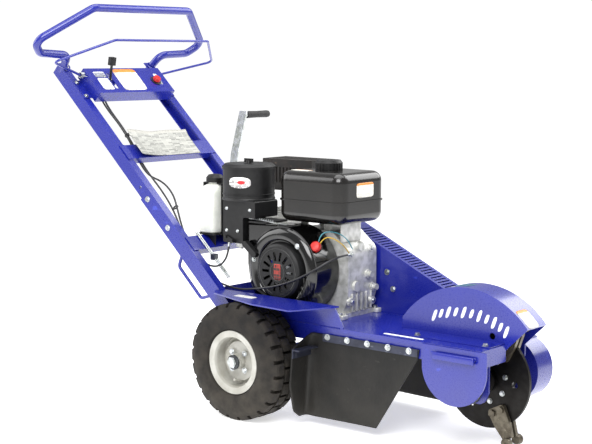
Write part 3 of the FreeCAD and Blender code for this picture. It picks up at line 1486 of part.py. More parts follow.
def make_fittings():
    """Plug cap, oil plugs, dipstick and the tank's stay plates."""
    tip = polar((size("crank_x"), size("crank_z")), 262.0, 155.0)
    start = Vector(tip[0] - 18.0, -28.0, tip[1] + 40.0)
    lead = bent_rod([(start.x + 60.0, -52.0, start.z + 6.0), (start.x + 20.0, -44.0, start.z + 6),
                     (start.x - 6.0, -30.0, start.z - 14.0)], 5.0, 12.0)
    node(feature("SparkPlugCap", lead), "spark_plug_cap")
    front = 212.0
    parts = []
    for index, (y, z) in enumerate(((68.0, 362.0), (44.0, 402.0))):
        collar = rod("PlugCollar%d" % index, (front, y, z), (1, 0, 0), 13.0, 6.0)
        head = rod("PlugHead%d" % index, (front + 5.0, y, z), (1, 0, 0), 9.0, 12.0)
        parts.append(fuse("OilPlug%d" % index, collar, head))
    for index, (x, y) in enumerate(((40.0, -34.0), (40.0, 54.0), (126.0, -34.0), (126.0, 54.0))):
        parts.append(box("TankStay%d" % index, (x - 12.0, y - 3.0, size("deck_top") + 247.0),
                         (x + 12.0, y + 3.0, size("tank_bottom"))))
    node(group("EngineFittings", *parts), "engine_fittings")


# ---------------------------------------------------------------- levers, bottle, cables


def make_tension_lever():
    """Flat-bar belt engaging lever with an offset bend and a round grip."""
    y = size("lever_side")
    thick = size("lever_thick")
    pivot = lever_pivot()
    width = size("lever_width")
    points = [(0, 0), (20.0, 118.0), (28.0, 146.0), (58.0, 252.0)]
    left = [(x - width / 2.0, z) for x, z in points]
    right = [(x + width / 2.0, z) for x, z in reversed(points)]
    outline = left + right
    bar = padded("LeverBar", "XZ", [outline], 0.0, cell("lever_thick"))
    bar.Placement = Placement(Vector(pivot[0], y, pivot[1]), Rotation())
    hub = rod("LeverHub", (pivot[0], y - 3.0, pivot[1]), (0, 1, 0), 20.0, thick + 5.0)
    bore = rod("LeverBore", (pivot[0], y - 10.0, pivot[1]), (0, 1, 0),
               8.0 + size("running_gap"), 40.0)
    grip = rod("LeverGrip", (pivot[0] + 60.0, y, pivot[1] + 240.0), (0, 1, 0), 8.0, 118.0)
    node(cut("TensionLever", fuse("LeverParts", bar, hub, grip), bore), "tension_lever")
    inner = size("rail_side") - size("rail_width")
    pin = rod("LeverPin", (pivot[0], y - 8.0, pivot[1]), (0, 1, 0), 8.0,
              inner - y + 8.0)
    plate = padded("LeverPlate", "XZ", [rounded(rectangle(-34.0, -26.0, 26.0, 26.0), 8.0)],
                   0.0, "5")
    plate.Placement = Placement(Vector(pivot[0], inner - 5.0, pivot[1]), Rotation())
    return fuse("LeverBracket", pin, plate)


def lever_pivot():
    """Tension lever pivot beside the left rail, as (x, z)."""
    x, _, z = rail_point(size("lever_run"), 26.0, 0.0)
    return (x, z)


def make_linkage(bracket):
    """Thin tension rods that run down beside the right rail to the tray, and the lever pin."""
    y = -size("tie_rod_side")
    rods = []
    lift = low_bar_lift() + 3.0
    for index in range(2):
        top = rail_point(560.0, lift, y - 8.0 * index)
        foot = rail_point(742.0, lift, y - 8.0 * index)
        rods.append(feature("TieRod%d" % index, straight_rod(top, foot, 3.0)))
    middle = rail_point(660.0, lift, y - 4.0)
    clamp = box("RodClamp", (middle[0] - 9.0, y - 12.0, middle[2] - 9.0),
                (middle[0] + 9.0, y + 4.0, middle[2] + 9.0))
    rods = fuse("TieRods", clamp, *rods)
    node(group("Linkage", rods, bracket), "linkage_rods")


def straight_rod(start, end, radius):
    """A straight round rod between two points."""
    a = Vector(*start)
    b = Vector(*end)
    return Part.makeCylinder(radius, (b - a).Length, a, b - a)


def make_bottle():
    """Translucent bottle on the lower cross member, with its cap, tray and strap."""
    lift = low_bar_lift()
    x, _, z = rail_point(size("low_bar_run"), lift, 0.0)
    gap = size("fit_gap")
    base = z + 4.0
    half_x = 35.0
    half_y = 46.0
    centre = (x + 8.0, -72.0)
    tall = 150.0
    plan = rounded(rectangle(centre[0] - half_x, centre[1] - half_y, centre[0] + half_x,
                             centre[1] + half_y), 20.0)
    jar = padded("BottleJar", "XY", [plan], base + gap, "%f" % tall)
    neck = rod("BottleNeck", (centre[0], centre[1], base + tall - 1.0), (0, 0, 1), 20.0, 16.0)
    node(fuse("FluidBottle", jar, neck), "fluid_bottle")
    cap = turned("BottleCap", [(20.3, 0), (27.0, 0), (27.0, 14.0), (20.0, 23.0), (0, 26.0),
                               (0, 11.5), (20.3, 11.5)],
                 (centre[0], centre[1], base + tall + 4.0))
    tray_plan = rounded(rectangle(centre[0] - half_x - 4.3, centre[1] - half_y,
                                  centre[0] + half_x + 4.3, centre[1] + half_y), 16.0)
    tray = padded("BottleTray", "XY", [tray_plan], base - 4.0, "4")
    parts = [tray]
    low_x, _, low_z = rail_point(size("low_bar_run") + 50.0, lift, 0.0)
    for index, y in enumerate((centre[1] - 30.0, centre[1] + 27.0)):
        parts.append(padded("TrayGusset%d" % index, "XZ", [[(x, z), (low_x, low_z), (low_x, z)]],
                            y, "3"))
    top = base + tall + gap
    for index, low_x in enumerate((centre[0] - half_x - 4.3, centre[0] + half_x + gap)):
        parts.append(box("StrapLeg%d" % index, (low_x, centre[1] - 11.0, base - 2.0),
                         (low_x + 4.0, centre[1] + 11.0, top + 3.0)))
    bridge = box("StrapBridge", (centre[0] - half_x - 4.3, centre[1] - 11.0, top),
                 (centre[0] + half_x + 4.3, centre[1] + 11.0, top + 3.0))
    room = rod("StrapHole", (centre[0], centre[1], top - 1.0), (0, 0, 1), 20.0 + gap, 6.0)
    parts.append(cut("StrapTop", bridge, room))
    node(group("BottleStrapSet", cap, fuse("BottleHolder", *parts)), "bottle_strap")


def make_tag():
    """Curled instruction sheet lying over the middle cross member."""
    under = []
    over = []
    for run, lift in ((130.0, 34.0), (160.0, 30.0), (190.0, 24.2), (236.0, 24.2)):
        x, _, z = rail_point(run, lift, 0.0)
        under.append((x, z))
        x, _, z = rail_point(run, lift + 1.2, 0.0)
        over.append((x, z))
    outline = [under[0], (under[1], under[2]), under[3], over[3], over[2],
               (over[1], over[0])]
    sheet_body = padded("TagSheet", "XZ", [outline], -146.0, "270")
    node(sheet_body, "operator_tag")


def cable_routes():
    """Throttle cable and stop-switch lead, as points chosen by hand along the right rail."""
    throttle = [rail_point(run, lift, y) for run, lift, y in (
        (-62.0, 30.0, -122.0), (-36.0, 15.0, -124.0), (20.0, 12.0, -124.0),
        (90.0, 16.0, -124.0), (160.0, 10.0, -124.0), (225.0, -7.0, -124.0),
        (286.0, -9.0, -124.0), (342.0, 22.0, -120.0), (400.0, 28.0, -122.0),
        (452.0, 14.0, -132.0), (506.0, 1.0, -146.0), (560.0, -1.0, -162.0),
        (618.0, -2.0, -158.0), (664.0, 1.0, -156.0))]
    throttle += [(-204.0, -156.0, 404.0), (-174.0, -158.0, 418.0), (-154.0, -157.0, 448.0),
                 (-150.0, -156.0, 483.2)]
    lead = [rail_point(run, lift, y) for run, lift, y in (
        (-62.0, 30.0, -110.0), (-36.0, 15.0, -112.0), (20.0, 9.0, -112.0),
        (90.0, 11.0, -112.0), (160.0, 5.0, -112.0), (225.0, -10.0, -112.0),
        (286.0, -12.0, -112.0), (346.0, -8.0, -114.0), (404.0, -8.0, -118.0),
        (460.0, -8.0, -130.0), (512.0, -8.0, -148.0), (566.0, -9.0, -166.0),
        (622.0, -9.0, -168.0), (676.0, -10.0, -166.0), (722.0, -6.0, -158.0))]
    lead += [(-160.0, -143.0, 346.0), (-104.0, -152.0, 346.0), (-40.0, -174.0, 358.0),
             (20.0, -177.0, 368.0), (78.0, -177.0, 384.0), (130.0, -173.0, 404.0),
             (178.0, -158.0, 432.0), (208.0, -128.0, 458.0), (222.0, -88.0, 470.0),
             (215.4, -46.0, 468.0)]
    return [throttle, lead]


def make_cables():
    """Throttle cable and stop-switch lead, held along the right rail."""
    parts = []
    for index, points in enumerate(cable_routes()):
        parts.append(feature("Cable%d" % index, bent_rod(points, 3.0)))
    node(group("ControlCables", *parts), "control_cables")


# ---------------------------------------------------------------- assembly and export


def build():
    """Make every sub-part."""
    make_deck()
    make_rear_tray()
    make_brackets()
    make_axle()
    make_wheels()
    make_rails()
    make_handlebar()
    make_bail()
    make_console()
    make_throttle()
    make_stop_switch()
    make_crossbars()
    make_lift_handles()
    make_hood()
    make_side_guard()
    make_cutter_disc()
    make_teeth()
    make_cutter_shaft()
    make_bearings()
    make_pulleys()
    make_belt()
    make_idler()
    make_belt_guard()
    make_flaps()
    make_bolts()
    make_crankcase()
    make_cylinder()
    make_fan_cover()
    make_crankshaft()
    make_starter_grip()
    make_tank()
    make_air_cleaner()
    make_carburettor()
    make_muffler()
    make_fittings()
    make_linkage(make_tension_lever())
    make_bottle()
    make_tag()
    make_cables()
    doc.recompute()


def check():
    """Stop if any object failed or any sub-part has no valid shape."""
    for obj in doc.Objects:
        if "Invalid" in obj.State or "Error" in obj.State:
            raise RuntimeError("failed: %s" % obj.Name)
    for obj in NODES:
        if obj.Shape.isNull() or not obj.Shape.isValid() or obj.Shape.Volume <= 0:
            raise RuntimeError("bad shape: %s" % obj.Label)


def export():
    """Write one STEP file per sub-part."""
    os.makedirs("parts", exist_ok=True)
    for obj in NODES:
        obj.Shape.exportStep("parts/%s.step" % obj.Label)
    whole = Part.Compound([obj.Shape for obj in NODES]).BoundBox
    print("nodes", len(NODES), "box", whole)


build()
check()
export()
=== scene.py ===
"""Looks, soft parts and fine detail for a walk-behind stump grinder.

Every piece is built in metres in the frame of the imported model: X forward to the
cutter, Y to the operator's left, Z up from the floor under the middle of the machine.
"""
import math

import bmesh
import bpy
import numpy as np
from bpy.props import FloatProperty, FloatVectorProperty, PointerProperty
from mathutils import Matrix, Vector


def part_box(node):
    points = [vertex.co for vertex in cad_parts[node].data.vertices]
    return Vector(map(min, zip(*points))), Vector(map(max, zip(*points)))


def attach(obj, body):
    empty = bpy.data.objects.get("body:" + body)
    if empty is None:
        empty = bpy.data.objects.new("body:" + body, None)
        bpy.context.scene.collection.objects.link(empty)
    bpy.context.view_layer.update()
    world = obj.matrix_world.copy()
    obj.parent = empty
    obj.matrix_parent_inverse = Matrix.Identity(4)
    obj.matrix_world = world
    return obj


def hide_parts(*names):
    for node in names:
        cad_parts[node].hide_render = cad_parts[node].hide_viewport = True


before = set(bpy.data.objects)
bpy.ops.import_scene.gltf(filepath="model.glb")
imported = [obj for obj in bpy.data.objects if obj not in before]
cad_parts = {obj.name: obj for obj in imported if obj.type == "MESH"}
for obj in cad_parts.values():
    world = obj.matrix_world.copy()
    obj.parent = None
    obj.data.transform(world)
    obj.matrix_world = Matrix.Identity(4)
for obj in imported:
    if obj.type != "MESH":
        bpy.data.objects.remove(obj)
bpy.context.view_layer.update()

bl_info = {
    "name": "Stump grinder looks",
    "version": (1, 0, 0),
    "blender": (4, 5, 0),
    "location": "3D View > Sidebar > Grinder",
    "description": "Materials, soft parts and fittings of a walk-behind stump grinder",
    "category": "Object",
}

MM = 0.001
X_AXIS = np.array([1.0, 0.0, 0.0])
Y_AXIS = np.array([0.0, 1.0, 0.0])
Z_AXIS = np.array([0.0, 0.0, 1.0])
# Places on the machine, in metres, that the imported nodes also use.
RAIL_TOP = np.array([-0.6932, 0.0, 0.8593])
RAIL_TILT = math.radians(43.1)
RAIL_ALONG = np.array([math.cos(RAIL_TILT), 0.0, -math.sin(RAIL_TILT)])
RAIL_SQUARE = np.array([math.sin(RAIL_TILT), 0.0, math.cos(RAIL_TILT)])
CRANK = np.array([0.0875, 0.0, 0.416])
CUTTER = np.array([0.7015, 0.0, 0.172])
HOOD = np.array([0.6585, 0.0, 0.169])
HOOD_RADIUS = 0.251
HOOD_SIDE = -0.0648
WHEEL = np.array([0.0365, 0.0, 0.1675])
CLEANER = np.array([-0.0855, -0.100, 0.611])
# Sizes of thin things, in metres.
WIRE_DIAMETER = 0.003
LABEL_FILM = 0.0005
CARD_FILM = 0.0012
CURTAIN_WALL = 0.0045
WELD_GAP = 2e-6
SHARP_EDGE = math.radians(38.0)
# The stage: a lens in millimetres, the floor, and the sky as a light and as seen.
CAMERA_SPOT = (2.6345, -3.074, 1.024)
CAMERA_TURN = (math.pi / 2.0 - 0.119465, 0.0, 0.706120)
CAMERA_LENS = 82.95
FLOOR_REACH = 14.0
FLOOR_GAP = 0.0005
FLOOR_GLOW = 0.56
SKY_LIGHT, SKY_SEEN = 0.5, 1.05
WHITE = (1.0, 1.0, 1.0, 1.0)
SIDES = ((-1.0, "right"), (1.0, "left"))


# ---- colour and materials


def linear(code):
    """Linear RGBA of an sRGB hex code such as "2630b0"."""
    channels = [int(code[k:k + 2], 16) / 255.0 for k in (0, 2, 4)]
    return tuple(c / 12.92 if c <= 0.04045 else ((c + 0.055) / 1.055) ** 2.4
                 for c in channels) + (1.0,)


def add_node(material, kind, settings=None, numbered=None, **named):
    """Adds one shader node, sets it up, and links or fills its inputs."""
    item = material.node_tree.nodes.new("ShaderNode" + kind)
    for key, value in (settings or {}).items():
        setattr(item, key, value)
    inputs = [(item.inputs[key], value) for key, value in (numbered or {}).items()]
    inputs += [(item.inputs[key.replace("_", " ")], value) for key, value in named.items()]
    for socket, value in inputs:
        if isinstance(value, bpy.types.NodeSocket):
            material.node_tree.links.new(value, socket)
        else:
            socket.default_value = value
    return item


def ramp(material, factor, low, high, start=0.35, end=0.65):
    """Colour that goes from low to high as factor goes from start to end."""
    item = add_node(material, "ValToRGB", Fac=factor)
    first, last = item.color_ramp.elements
    first.position, last.position = start, end
    first.color, last.color = low, high
    return item.outputs["Color"]


def span(material, value, low, high):
    """A number that goes from low to high as value goes from 0.3 to 0.7."""
    item = add_node(material, "MapRange", Value=value, From_Min=0.3, From_Max=0.7,
                    To_Min=low, To_Max=high)
    return item.outputs["Result"]


def mixed(material, factor, low, high):
    """Two colours mixed by a factor socket."""
    return add_node(material, "Mix", {"data_type": "RGBA"},
                    {0: factor, 6: low, 7: high}).outputs[2]


def blank(name):
    """A new node material with its surface shader, as (material, shader)."""
    material = bpy.data.materials.new(name)
    material.use_nodes = True
    return material, material.node_tree.nodes["Principled BSDF"]


def noise(material, vector, size_mm, detail=4.0):
    """Noise whose blobs are about size_mm across."""
    return add_node(material, "TexNoise", Vector=vector, Scale=1.0 / (size_mm * MM),
                    Detail=detail).outputs["Fac"]


def dress(material, shader, colour, roughness, height, strength, depth):
    """Links a colour, a roughness and a bump, depth in metres, to the shader."""
    relief = add_node(material, "Bump", Height=height, Strength=strength, Distance=depth)
    for key, value in (("Base Color", colour), ("Roughness", roughness),
                       ("Normal", relief.outputs["Normal"])):
        material.node_tree.links.new(value, shader.inputs[key])


def finish_look(name, base, worn, blotch_mm, grain_mm, depth_mm, rough, spread,
                metallic=0.0, stretch=(1.0, 1.0, 1.0), scuff="", scuff_mm=30.0,
                dust=0.0, **shader_values):
    """A painted, moulded, cast or plated surface.

    base and worn are the two ends of its colour drift over blotch_mm; grain_mm and
    depth_mm are the size and depth of its fine texture; rough varies by spread; scuff is
    the colour of thin scratches; dust lightens what lies low on the machine.
    """
    material, shader = blank(name)
    place = add_node(material, "TexCoord").outputs["Object"]
    pulled = add_node(material, "Mapping", Vector=place, Scale=stretch).outputs["Vector"]
    drift = noise(material, place, blotch_mm)
    grain = noise(material, pulled, grain_mm, 6.0)
    colour = ramp(material, drift, linear(base), linear(worn))
    if scuff:
        streak = add_node(material, "Mapping", Vector=place, Scale=(1.0, 6.0, 2.2),
                          Rotation=(0.3, 0.5, 0.7)).outputs["Vector"]
        marks = noise(material, streak, scuff_mm, 8.0)
        edge = add_node(material, "MapRange", Value=marks, From_Min=0.66, From_Max=0.72)
        colour = mixed(material, edge.outputs["Result"], colour, linear(scuff))
    if dust:
        height = add_node(material, "SeparateXYZ", Vector=place).outputs["Z"]
        low = add_node(material, "MapRange", Value=height, From_Min=0.25, From_Max=0.0,
                       To_Min=0.0, To_Max=dust)
        patchy = add_node(material, "Math", {"operation": "MULTIPLY"},
                          {0: low.outputs["Result"], 1: drift})
        colour = mixed(material, patchy.outputs[0], colour, linear("8d8678"))
    dress(material, shader, colour, span(material, grain, rough - spread, rough + spread),
          grain, 1.0, depth_mm * MM)
    shader.inputs["Metallic"].default_value = metallic
    for key, value in shader_values.items():
        shader.inputs[key.replace("_", " ")].default_value = value
    return material


def turned_look(name, base, groove, centre, pitch_mm, rough):
    """Steel faced on a lathe: fine rings round an axis along Y through centre."""
    material, shader = blank(name)
    place = add_node(material, "TexCoord").outputs["Object"]
    moved = add_node(material, "Mapping", Vector=place,
                     Location=tuple(-np.array(centre))).outputs["Vector"]
    rings = add_node(material, "TexWave", {"wave_type": "RINGS", "rings_direction": "Y"},
                     Vector=moved, Scale=1.0 / (pitch_mm * MM * 20.0), Distortion=1.2,
                     Detail=3.0).outputs["Fac"]
    rust = noise(material, place, 24.0, 8.0)
    colour = mixed(material, rust, linear(base), linear(groove))
    dress(material, shader, colour, span(material, rings, rough - 0.06, rough + 0.1), rings,
          0.4, 0.0001)
    shader.inputs["Metallic"].default_value = 1.0
    return material


def print_look(name, paper, ink, band, band_from=0.78, rows=9.0, dot=""):
    """Vinyl label: rows of plain ink blocks, a coloured band, or one coloured dot."""
    material, shader = blank(name)
    uv = add_node(material, "UVMap").outputs["UV"]
    blocks = add_node(material, "TexBrick", {"offset": 0.37, "squash": 0.6}, Vector=uv,
                      Color1=linear(ink), Color2=linear(paper), Mortar=linear(paper),
                      Scale=rows, Mortar_Size=0.028, Bias=-0.1, Brick_Width=0.9,
                      Row_Height=0.42).outputs["Color"]
    axes = add_node(material, "SeparateXYZ", Vector=uv)
    header = add_node(material, "Math", {"operation": "GREATER_THAN"},
                      {0: axes.outputs["Y"], 1: band_from})
    colour = mixed(material, header.outputs[0], blocks, linear(band))
    if dot:
        reach = add_node(material, "VectorMath", {"operation": "DISTANCE"},
                         {0: uv, 1: (0.58, 0.52, 0.0)})
        inside = add_node(material, "Math", {"operation": "LESS_THAN"},
                          {0: reach.outputs["Value"], 1: 0.17})
        colour = mixed(material, inside.outputs[0], colour, linear(dot))
    wear = noise(material, add_node(material, "TexCoord").outputs["Object"], 6.0)
    dress(material, shader, colour, span(material, wear, 0.32, 0.5), wear, 0.3, 0.0001)
    return material


def make_looks():
    """All the materials, by name."""
    paint = "".join("%02x" % round(255 * c) for c in bpy.context.scene.grinder.paint)
    return {
        # Powder coat, sprayed and baked: even blue with faint orange peel and a clear gloss.
        "powder_coat": finish_look("powder_coat_blue", paint, "141d80", 160.0, 2.2, 0.015,
                                   0.28, 0.02, scuff="2b38a4", scuff_mm=46.0, dust=0.25,
                                   Coat_Weight=0.35, Coat_Roughness=0.12),
        # Bright zinc plate on fasteners: pale cool metal, spangled and slightly dull.
        "zinc": finish_look("zinc_plated_steel", "c9ccd0", "a4a8a4", 14.0, 1.2, 0.02,
                            0.34, 0.08, metallic=1.0),
        # Cold-drawn rod with black oxide: satin, draw lines run along the bar.
        "black_rod": finish_look("black_oxide_rod", "3c3f4e", "2b2d38", 40.0, 1.0, 0.02,
                                 0.42, 0.08, metallic=0.6, scuff="6a6d78"),
        # Ground steel disc: turning rings, straw-brown film from hot cutting.
        "disc": turned_look("ground_steel_disc", "343332", "171514", CUTTER, 0.6, 0.42),
        # Forged steel holders with brazed carbide: dark scale, bright chipped faces.
        "forged": finish_look("forged_tooth_steel", "6f695c", "544d42", 14.0, 1.8, 0.03,
                              0.45, 0.06, metallic=0.8, scuff="9a927f", scuff_mm=8.0),
        # Turned shaft steel: bright, oiled.
        "shaft": finish_look("turned_shaft_steel", "9d9fa3", "77797c", 20.0, 0.7, 0.01,
                             0.28, 0.06, metallic=1.0, stretch=(1.0, 0.05, 1.0)),
        # Grey cast iron pulley: sand-cast skin under thin paint.
        "cast_iron": finish_look("grey_cast_iron", "4d4f52", "393b3d", 12.0, 1.4, 0.12,
                                 0.55, 0.1, metallic=0.7),
        # Vulcanised tread rubber: charcoal, dustier towards the bottom, fine mould texture.
        "tyre": finish_look("vulcanised_tread_rubber", "141211", "26221e", 32.0, 1.6, 0.14,
                            0.80, 0.08, dust=0.16, Specular_IOR_Level=0.3),
        # Cream enamel on pressed rims: soft gloss and thin scuff marks.
        "rim": finish_look("cream_rim_enamel", "adaca5", "96948b", 40.0, 1.6, 0.02,
                           0.34, 0.06, scuff="9a988c", scuff_mm=20.0, Coat_Weight=0.2),
        # Calendered rubber curtain: flat black with long faint rolling marks and dust.
        "curtain": finish_look("calendered_rubber_sheet", "0d0d0d", "191817", 90.0, 2.4,
                               0.05, 0.55, 0.08, stretch=(1.0, 1.0, 0.2), scuff="262523",
                               dust=0.10, Specular_IOR_Level=0.3),
        # Moulded rubber grip: dark, matt.
        "soft_rubber": finish_look("moulded_soft_rubber", "1f1f20", "2a2a2a", 12.0, 0.9,
                                   0.05, 0.7, 0.06),
        # Die-cast aluminium: light grey, fine sand-like skin, patchy darker tone.
        "cast_aluminium": finish_look("die_cast_aluminium", "dededb", "b3b4ae", 22.0, 1.1,
                                      0.10, 0.42, 0.1, metallic=0.45, scuff="e4e4e0",
                                      scuff_mm=12.0),
        # Gloss black enamel on pressed sheet: deep reflections, slight orange peel.
        "gloss_black": finish_look("gloss_black_enamel", "030304", "070707", 60.0, 3.0,
                                   0.02, 0.14, 0.04, Coat_Weight=0.3, Coat_Roughness=0.05),
        # Tank enamel: a shade lighter and softer than the fan cover.
        "tank": finish_look("tank_enamel_black", "0c0b0a", "151311", 80.0, 3.0, 0.02,
                            0.2, 0.05, Coat_Weight=0.2, Coat_Roughness=0.08),
        # High-temperature silencer paint: chalky black with a brown heat tint.
        "heat_black": finish_look("heat_proof_paint", "100f0e", "1c1511", 26.0, 1.4, 0.06,
                                  0.62, 0.08, scuff="4a3a2c", scuff_mm=16.0),
        # Moulded nylon: black, fine spark-eroded grain.
        "black_plastic": finish_look("moulded_black_nylon", "0a0a0b", "121213", 18.0, 0.7,
                                     0.04, 0.46, 0.06, Specular_IOR_Level=0.35),
        # Moulded red ABS: saturated, semi-gloss.
        "red_plastic": finish_look("moulded_red_abs", "c4231c", "a81a15", 10.0, 0.8, 0.02,
                                   0.32, 0.05),
        # Blow-moulded polyethylene: milky, light passes through the wall.
        "polyethylene": finish_look("blow_moulded_polyethylene", "e6e7e0", "d5d8d0", 34.0,
                                    2.0, 0.05, 0.38, 0.05, Subsurface_Weight=0.5,
                                    Subsurface_Radius=(0.01, 0.01, 0.009)),
        # Fabric-wrapped V-belt: dull charcoal weave.
        "belt": finish_look("wrapped_v_belt", "242424", "343230", 8.0, 0.8, 0.08, 0.8, 0.05),
        # Extruded PVC sheath on cables: black with soft shine.
        "sheath": finish_look("pvc_cable_sheath", "1d1d1f", "29292b", 15.0, 0.8, 0.02,
                              0.4, 0.05),
        # Extruded PVC insulation of thin wires, yellow and teal: bright, soft shine.
        "wire_yellow": finish_look("yellow_pvc_insulation", "c9a62a", "b08f20", 8.0, 0.6,
                                   0.01, 0.4, 0.05),
        "wire_teal": finish_look("teal_pvc_insulation", "3d8f9e", "2f7380", 8.0, 0.6, 0.01,
                                 0.4, 0.05),
        # Laminated card in a clear sleeve: pale with rows of plain marks.
        "card": print_look("laminated_card", "b4b4ad", "7d7e79", "a9a8a0", 0.9, 7.0),
        # Printed vinyl labels: white with grey blocks, and a warning-orange band.
        "label_orange": print_look("vinyl_label_orange_band", "f1efe8", "c3bfb4", "e0893a",
                                   0.84, 6.0),
        # The same vinyl with rows of grey blocks, and with one red dot.
        "label_white": print_look("vinyl_label_white", "eeeeea", "a7a7a4", "eeeeea", 0.9,
                                  5.0),
        "label_grey": print_look("vinyl_label_grey", "b9bcc6", "4a4e62", "d9dbe2", 0.82,
                                 4.0),
        "label_dot": print_look("vinyl_label_red_dot", "f4f3f0", "7f7b7c", "f4f3f0", 0.78,
                                3.0, dot="c0242a"),
        # Printed vinyl badge and marks: one strong colour, edges worn a little duller.
        "badge": print_look("vinyl_badge_red", "a32a1c", "2b1512", "a32a1c", 0.97, 2.2),
        "mark_white": print_look("vinyl_mark_white", "eef0f6", "eef0f6", "eef0f6", 0.99,
                                 2.0),
        "mark_teal": print_look("vinyl_mark_teal", "2d6f86", "1c3350", "2d6f86", 0.95, 3.0),
    }


NODE_LOOKS = {
    "powder_coat": ("deck", "rear_tray", "chassis_brackets", "upper_rail_right",
                    "upper_rail_left", "lower_rail_right", "lower_rail_left", "handlebar",
                    "control_console", "rail_crossbars", "lift_handles", "cutter_hood",
                    "side_guard", "belt_guard", "operator_bail"),
    "zinc": ("frame_bolts", "linkage_rods", "wheel_axle", "tension_lever"),
    "black_rod": ("flap_strips",),
    "disc": ("cutter_disc",),
    "forged": ("cutter_teeth",),
    "shaft": ("cutter_shaft", "crankshaft"),
    "cast_iron": ("drive_pulley", "driven_pulley", "idler_pulley", "idler_arm",
                  "cutter_bearings"),
    "tyre": ("tyre_right", "tyre_left"),
    "rim": ("rim_right", "rim_left"),
    "cast_aluminium": ("crankcase", "crankcase_cover", "cylinder_block", "engine_fittings",
                       "flywheel"),
    "gloss_black": ("fan_cover", "rocker_cover"),
    "tank": ("fuel_tank",),
    "heat_black": ("muffler", "muffler_guard"),
    "black_plastic": ("recoil_cover", "fuel_cap", "air_cleaner_body", "air_cleaner_cover",
                      "carburettor", "throttle_lever", "starter_grip", "choke_lever",
                      "bottle_strap"),
    "soft_rubber": ("spark_plug_cap",),
    "red_plastic": ("stop_switch",),
    "belt": ("drive_belt",),
}

LOOKS = {}


# ---- surfaces


def unit(vector):
    """The vector scaled to length one."""
    vector = np.asarray(vector, float)
    return vector / np.linalg.norm(vector)


def round_axis(centre, radius, degrees, y):
    """A point at a radius and an angle round the axis along Y through centre, at y."""
    t = math.radians(degrees)
    return centre[0] + radius * math.cos(t), y, centre[2] + radius * math.sin(t)


def rail_point(run, lift, y):
    """A point by the handle rails, in metres: run down the rail, lift square to it."""
    return RAIL_TOP + run * MM * RAIL_ALONG + lift * MM * RAIL_SQUARE + y * MM * Y_AXIS


def superellipse(steps, power):
    """Closed outline |x|^p + |y|^p = 1, as points round from x = 1."""
    t = np.linspace(0.0, 2.0 * math.pi, steps, endpoint=False)
    c, s = np.cos(t), np.sin(t)
    return np.stack([np.sign(c) * abs(c) ** (2.0 / power),
                     np.sign(s) * abs(s) ** (2.0 / power)], axis=1)


def grid_faces(rows, columns, wrap=False):
    """Quads of a rows x columns grid of points: (i, j), (i+1, j), (i+1, j+1), (i, j+1)."""
    i, j = np.meshgrid(np.arange(rows - 1), np.arange(columns - (0 if wrap else 1)),
                       indexing="ij")
    k = (j + 1) % columns
    quads = np.stack([i * columns + j, (i + 1) * columns + j, (i + 1) * columns + k,
                      i * columns + k], axis=-1)
    return quads.reshape(-1, 4)


def tube_faces(rows, steps):
    """Quads round a tube of rows x steps points, with a cap at each end."""
    last = (rows - 1) * steps
    return ([list(f) for f in grid_faces(rows, steps, wrap=True)]
            + [list(range(steps)), list(range(last, last + steps))])


def add_piece(name, surface, look, body="frame", uv=None):
    """A mesh object from (points, faces), welded, facing outward, riding on its body."""
    points, faces = surface
    mesh = bpy.data.meshes.new(name)
    mesh.from_pydata(np.asarray(points, float).tolist(), [], [list(f) for f in faces])
    if uv is not None:
        layer = mesh.uv_layers.new(name="UVMap")
        corner = np.empty(len(mesh.loops), int)
        mesh.loops.foreach_get("vertex_index", corner)
        layer.data.foreach_set("uv", np.asarray(uv, float)[corner].ravel())
    shape = bmesh.new()
    shape.from_mesh(mesh)
    bmesh.ops.remove_doubles(shape, verts=shape.verts, dist=WELD_GAP)
    bmesh.ops.recalc_face_normals(shape, faces=shape.faces)
    shape.to_mesh(mesh)
    shape.free()
    mesh.shade_smooth()
    mesh.set_sharp_from_angle(angle=SHARP_EDGE)
    mesh.materials.append(LOOKS[look])
    piece = bpy.data.objects.new(name, mesh)
    bpy.context.scene.collection.objects.link(piece)
    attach(piece, body)
    return piece


def thicken(piece, name, wall):
    """Gives an open sheet its wall, half to each side."""
    layer = piece.modifiers.new(name, "SOLIDIFY")
    layer.thickness = wall
    layer.offset = 0.0


def revolved(profile, centre, axis, steps=48):
    """Turned surface: centre + h * axis + r * (cos t * u + sin t * w) over (r, h), t."""
    axis = unit(axis)
    u = unit(np.cross(axis, Z_AXIS if abs(axis[2]) < 0.9 else X_AXIS))
    w = np.cross(axis, u)
    profile = np.asarray(profile, float) * MM
    t = np.linspace(0.0, 2.0 * math.pi, steps, endpoint=False)
    ring = np.cos(t)[None, :, None] * u + np.sin(t)[None, :, None] * w
    points = (np.asarray(centre) + profile[:, 1, None, None] * axis
              + profile[:, 0, None, None] * ring)
    return points.reshape(-1, 3), grid_faces(len(profile), steps, wrap=True)


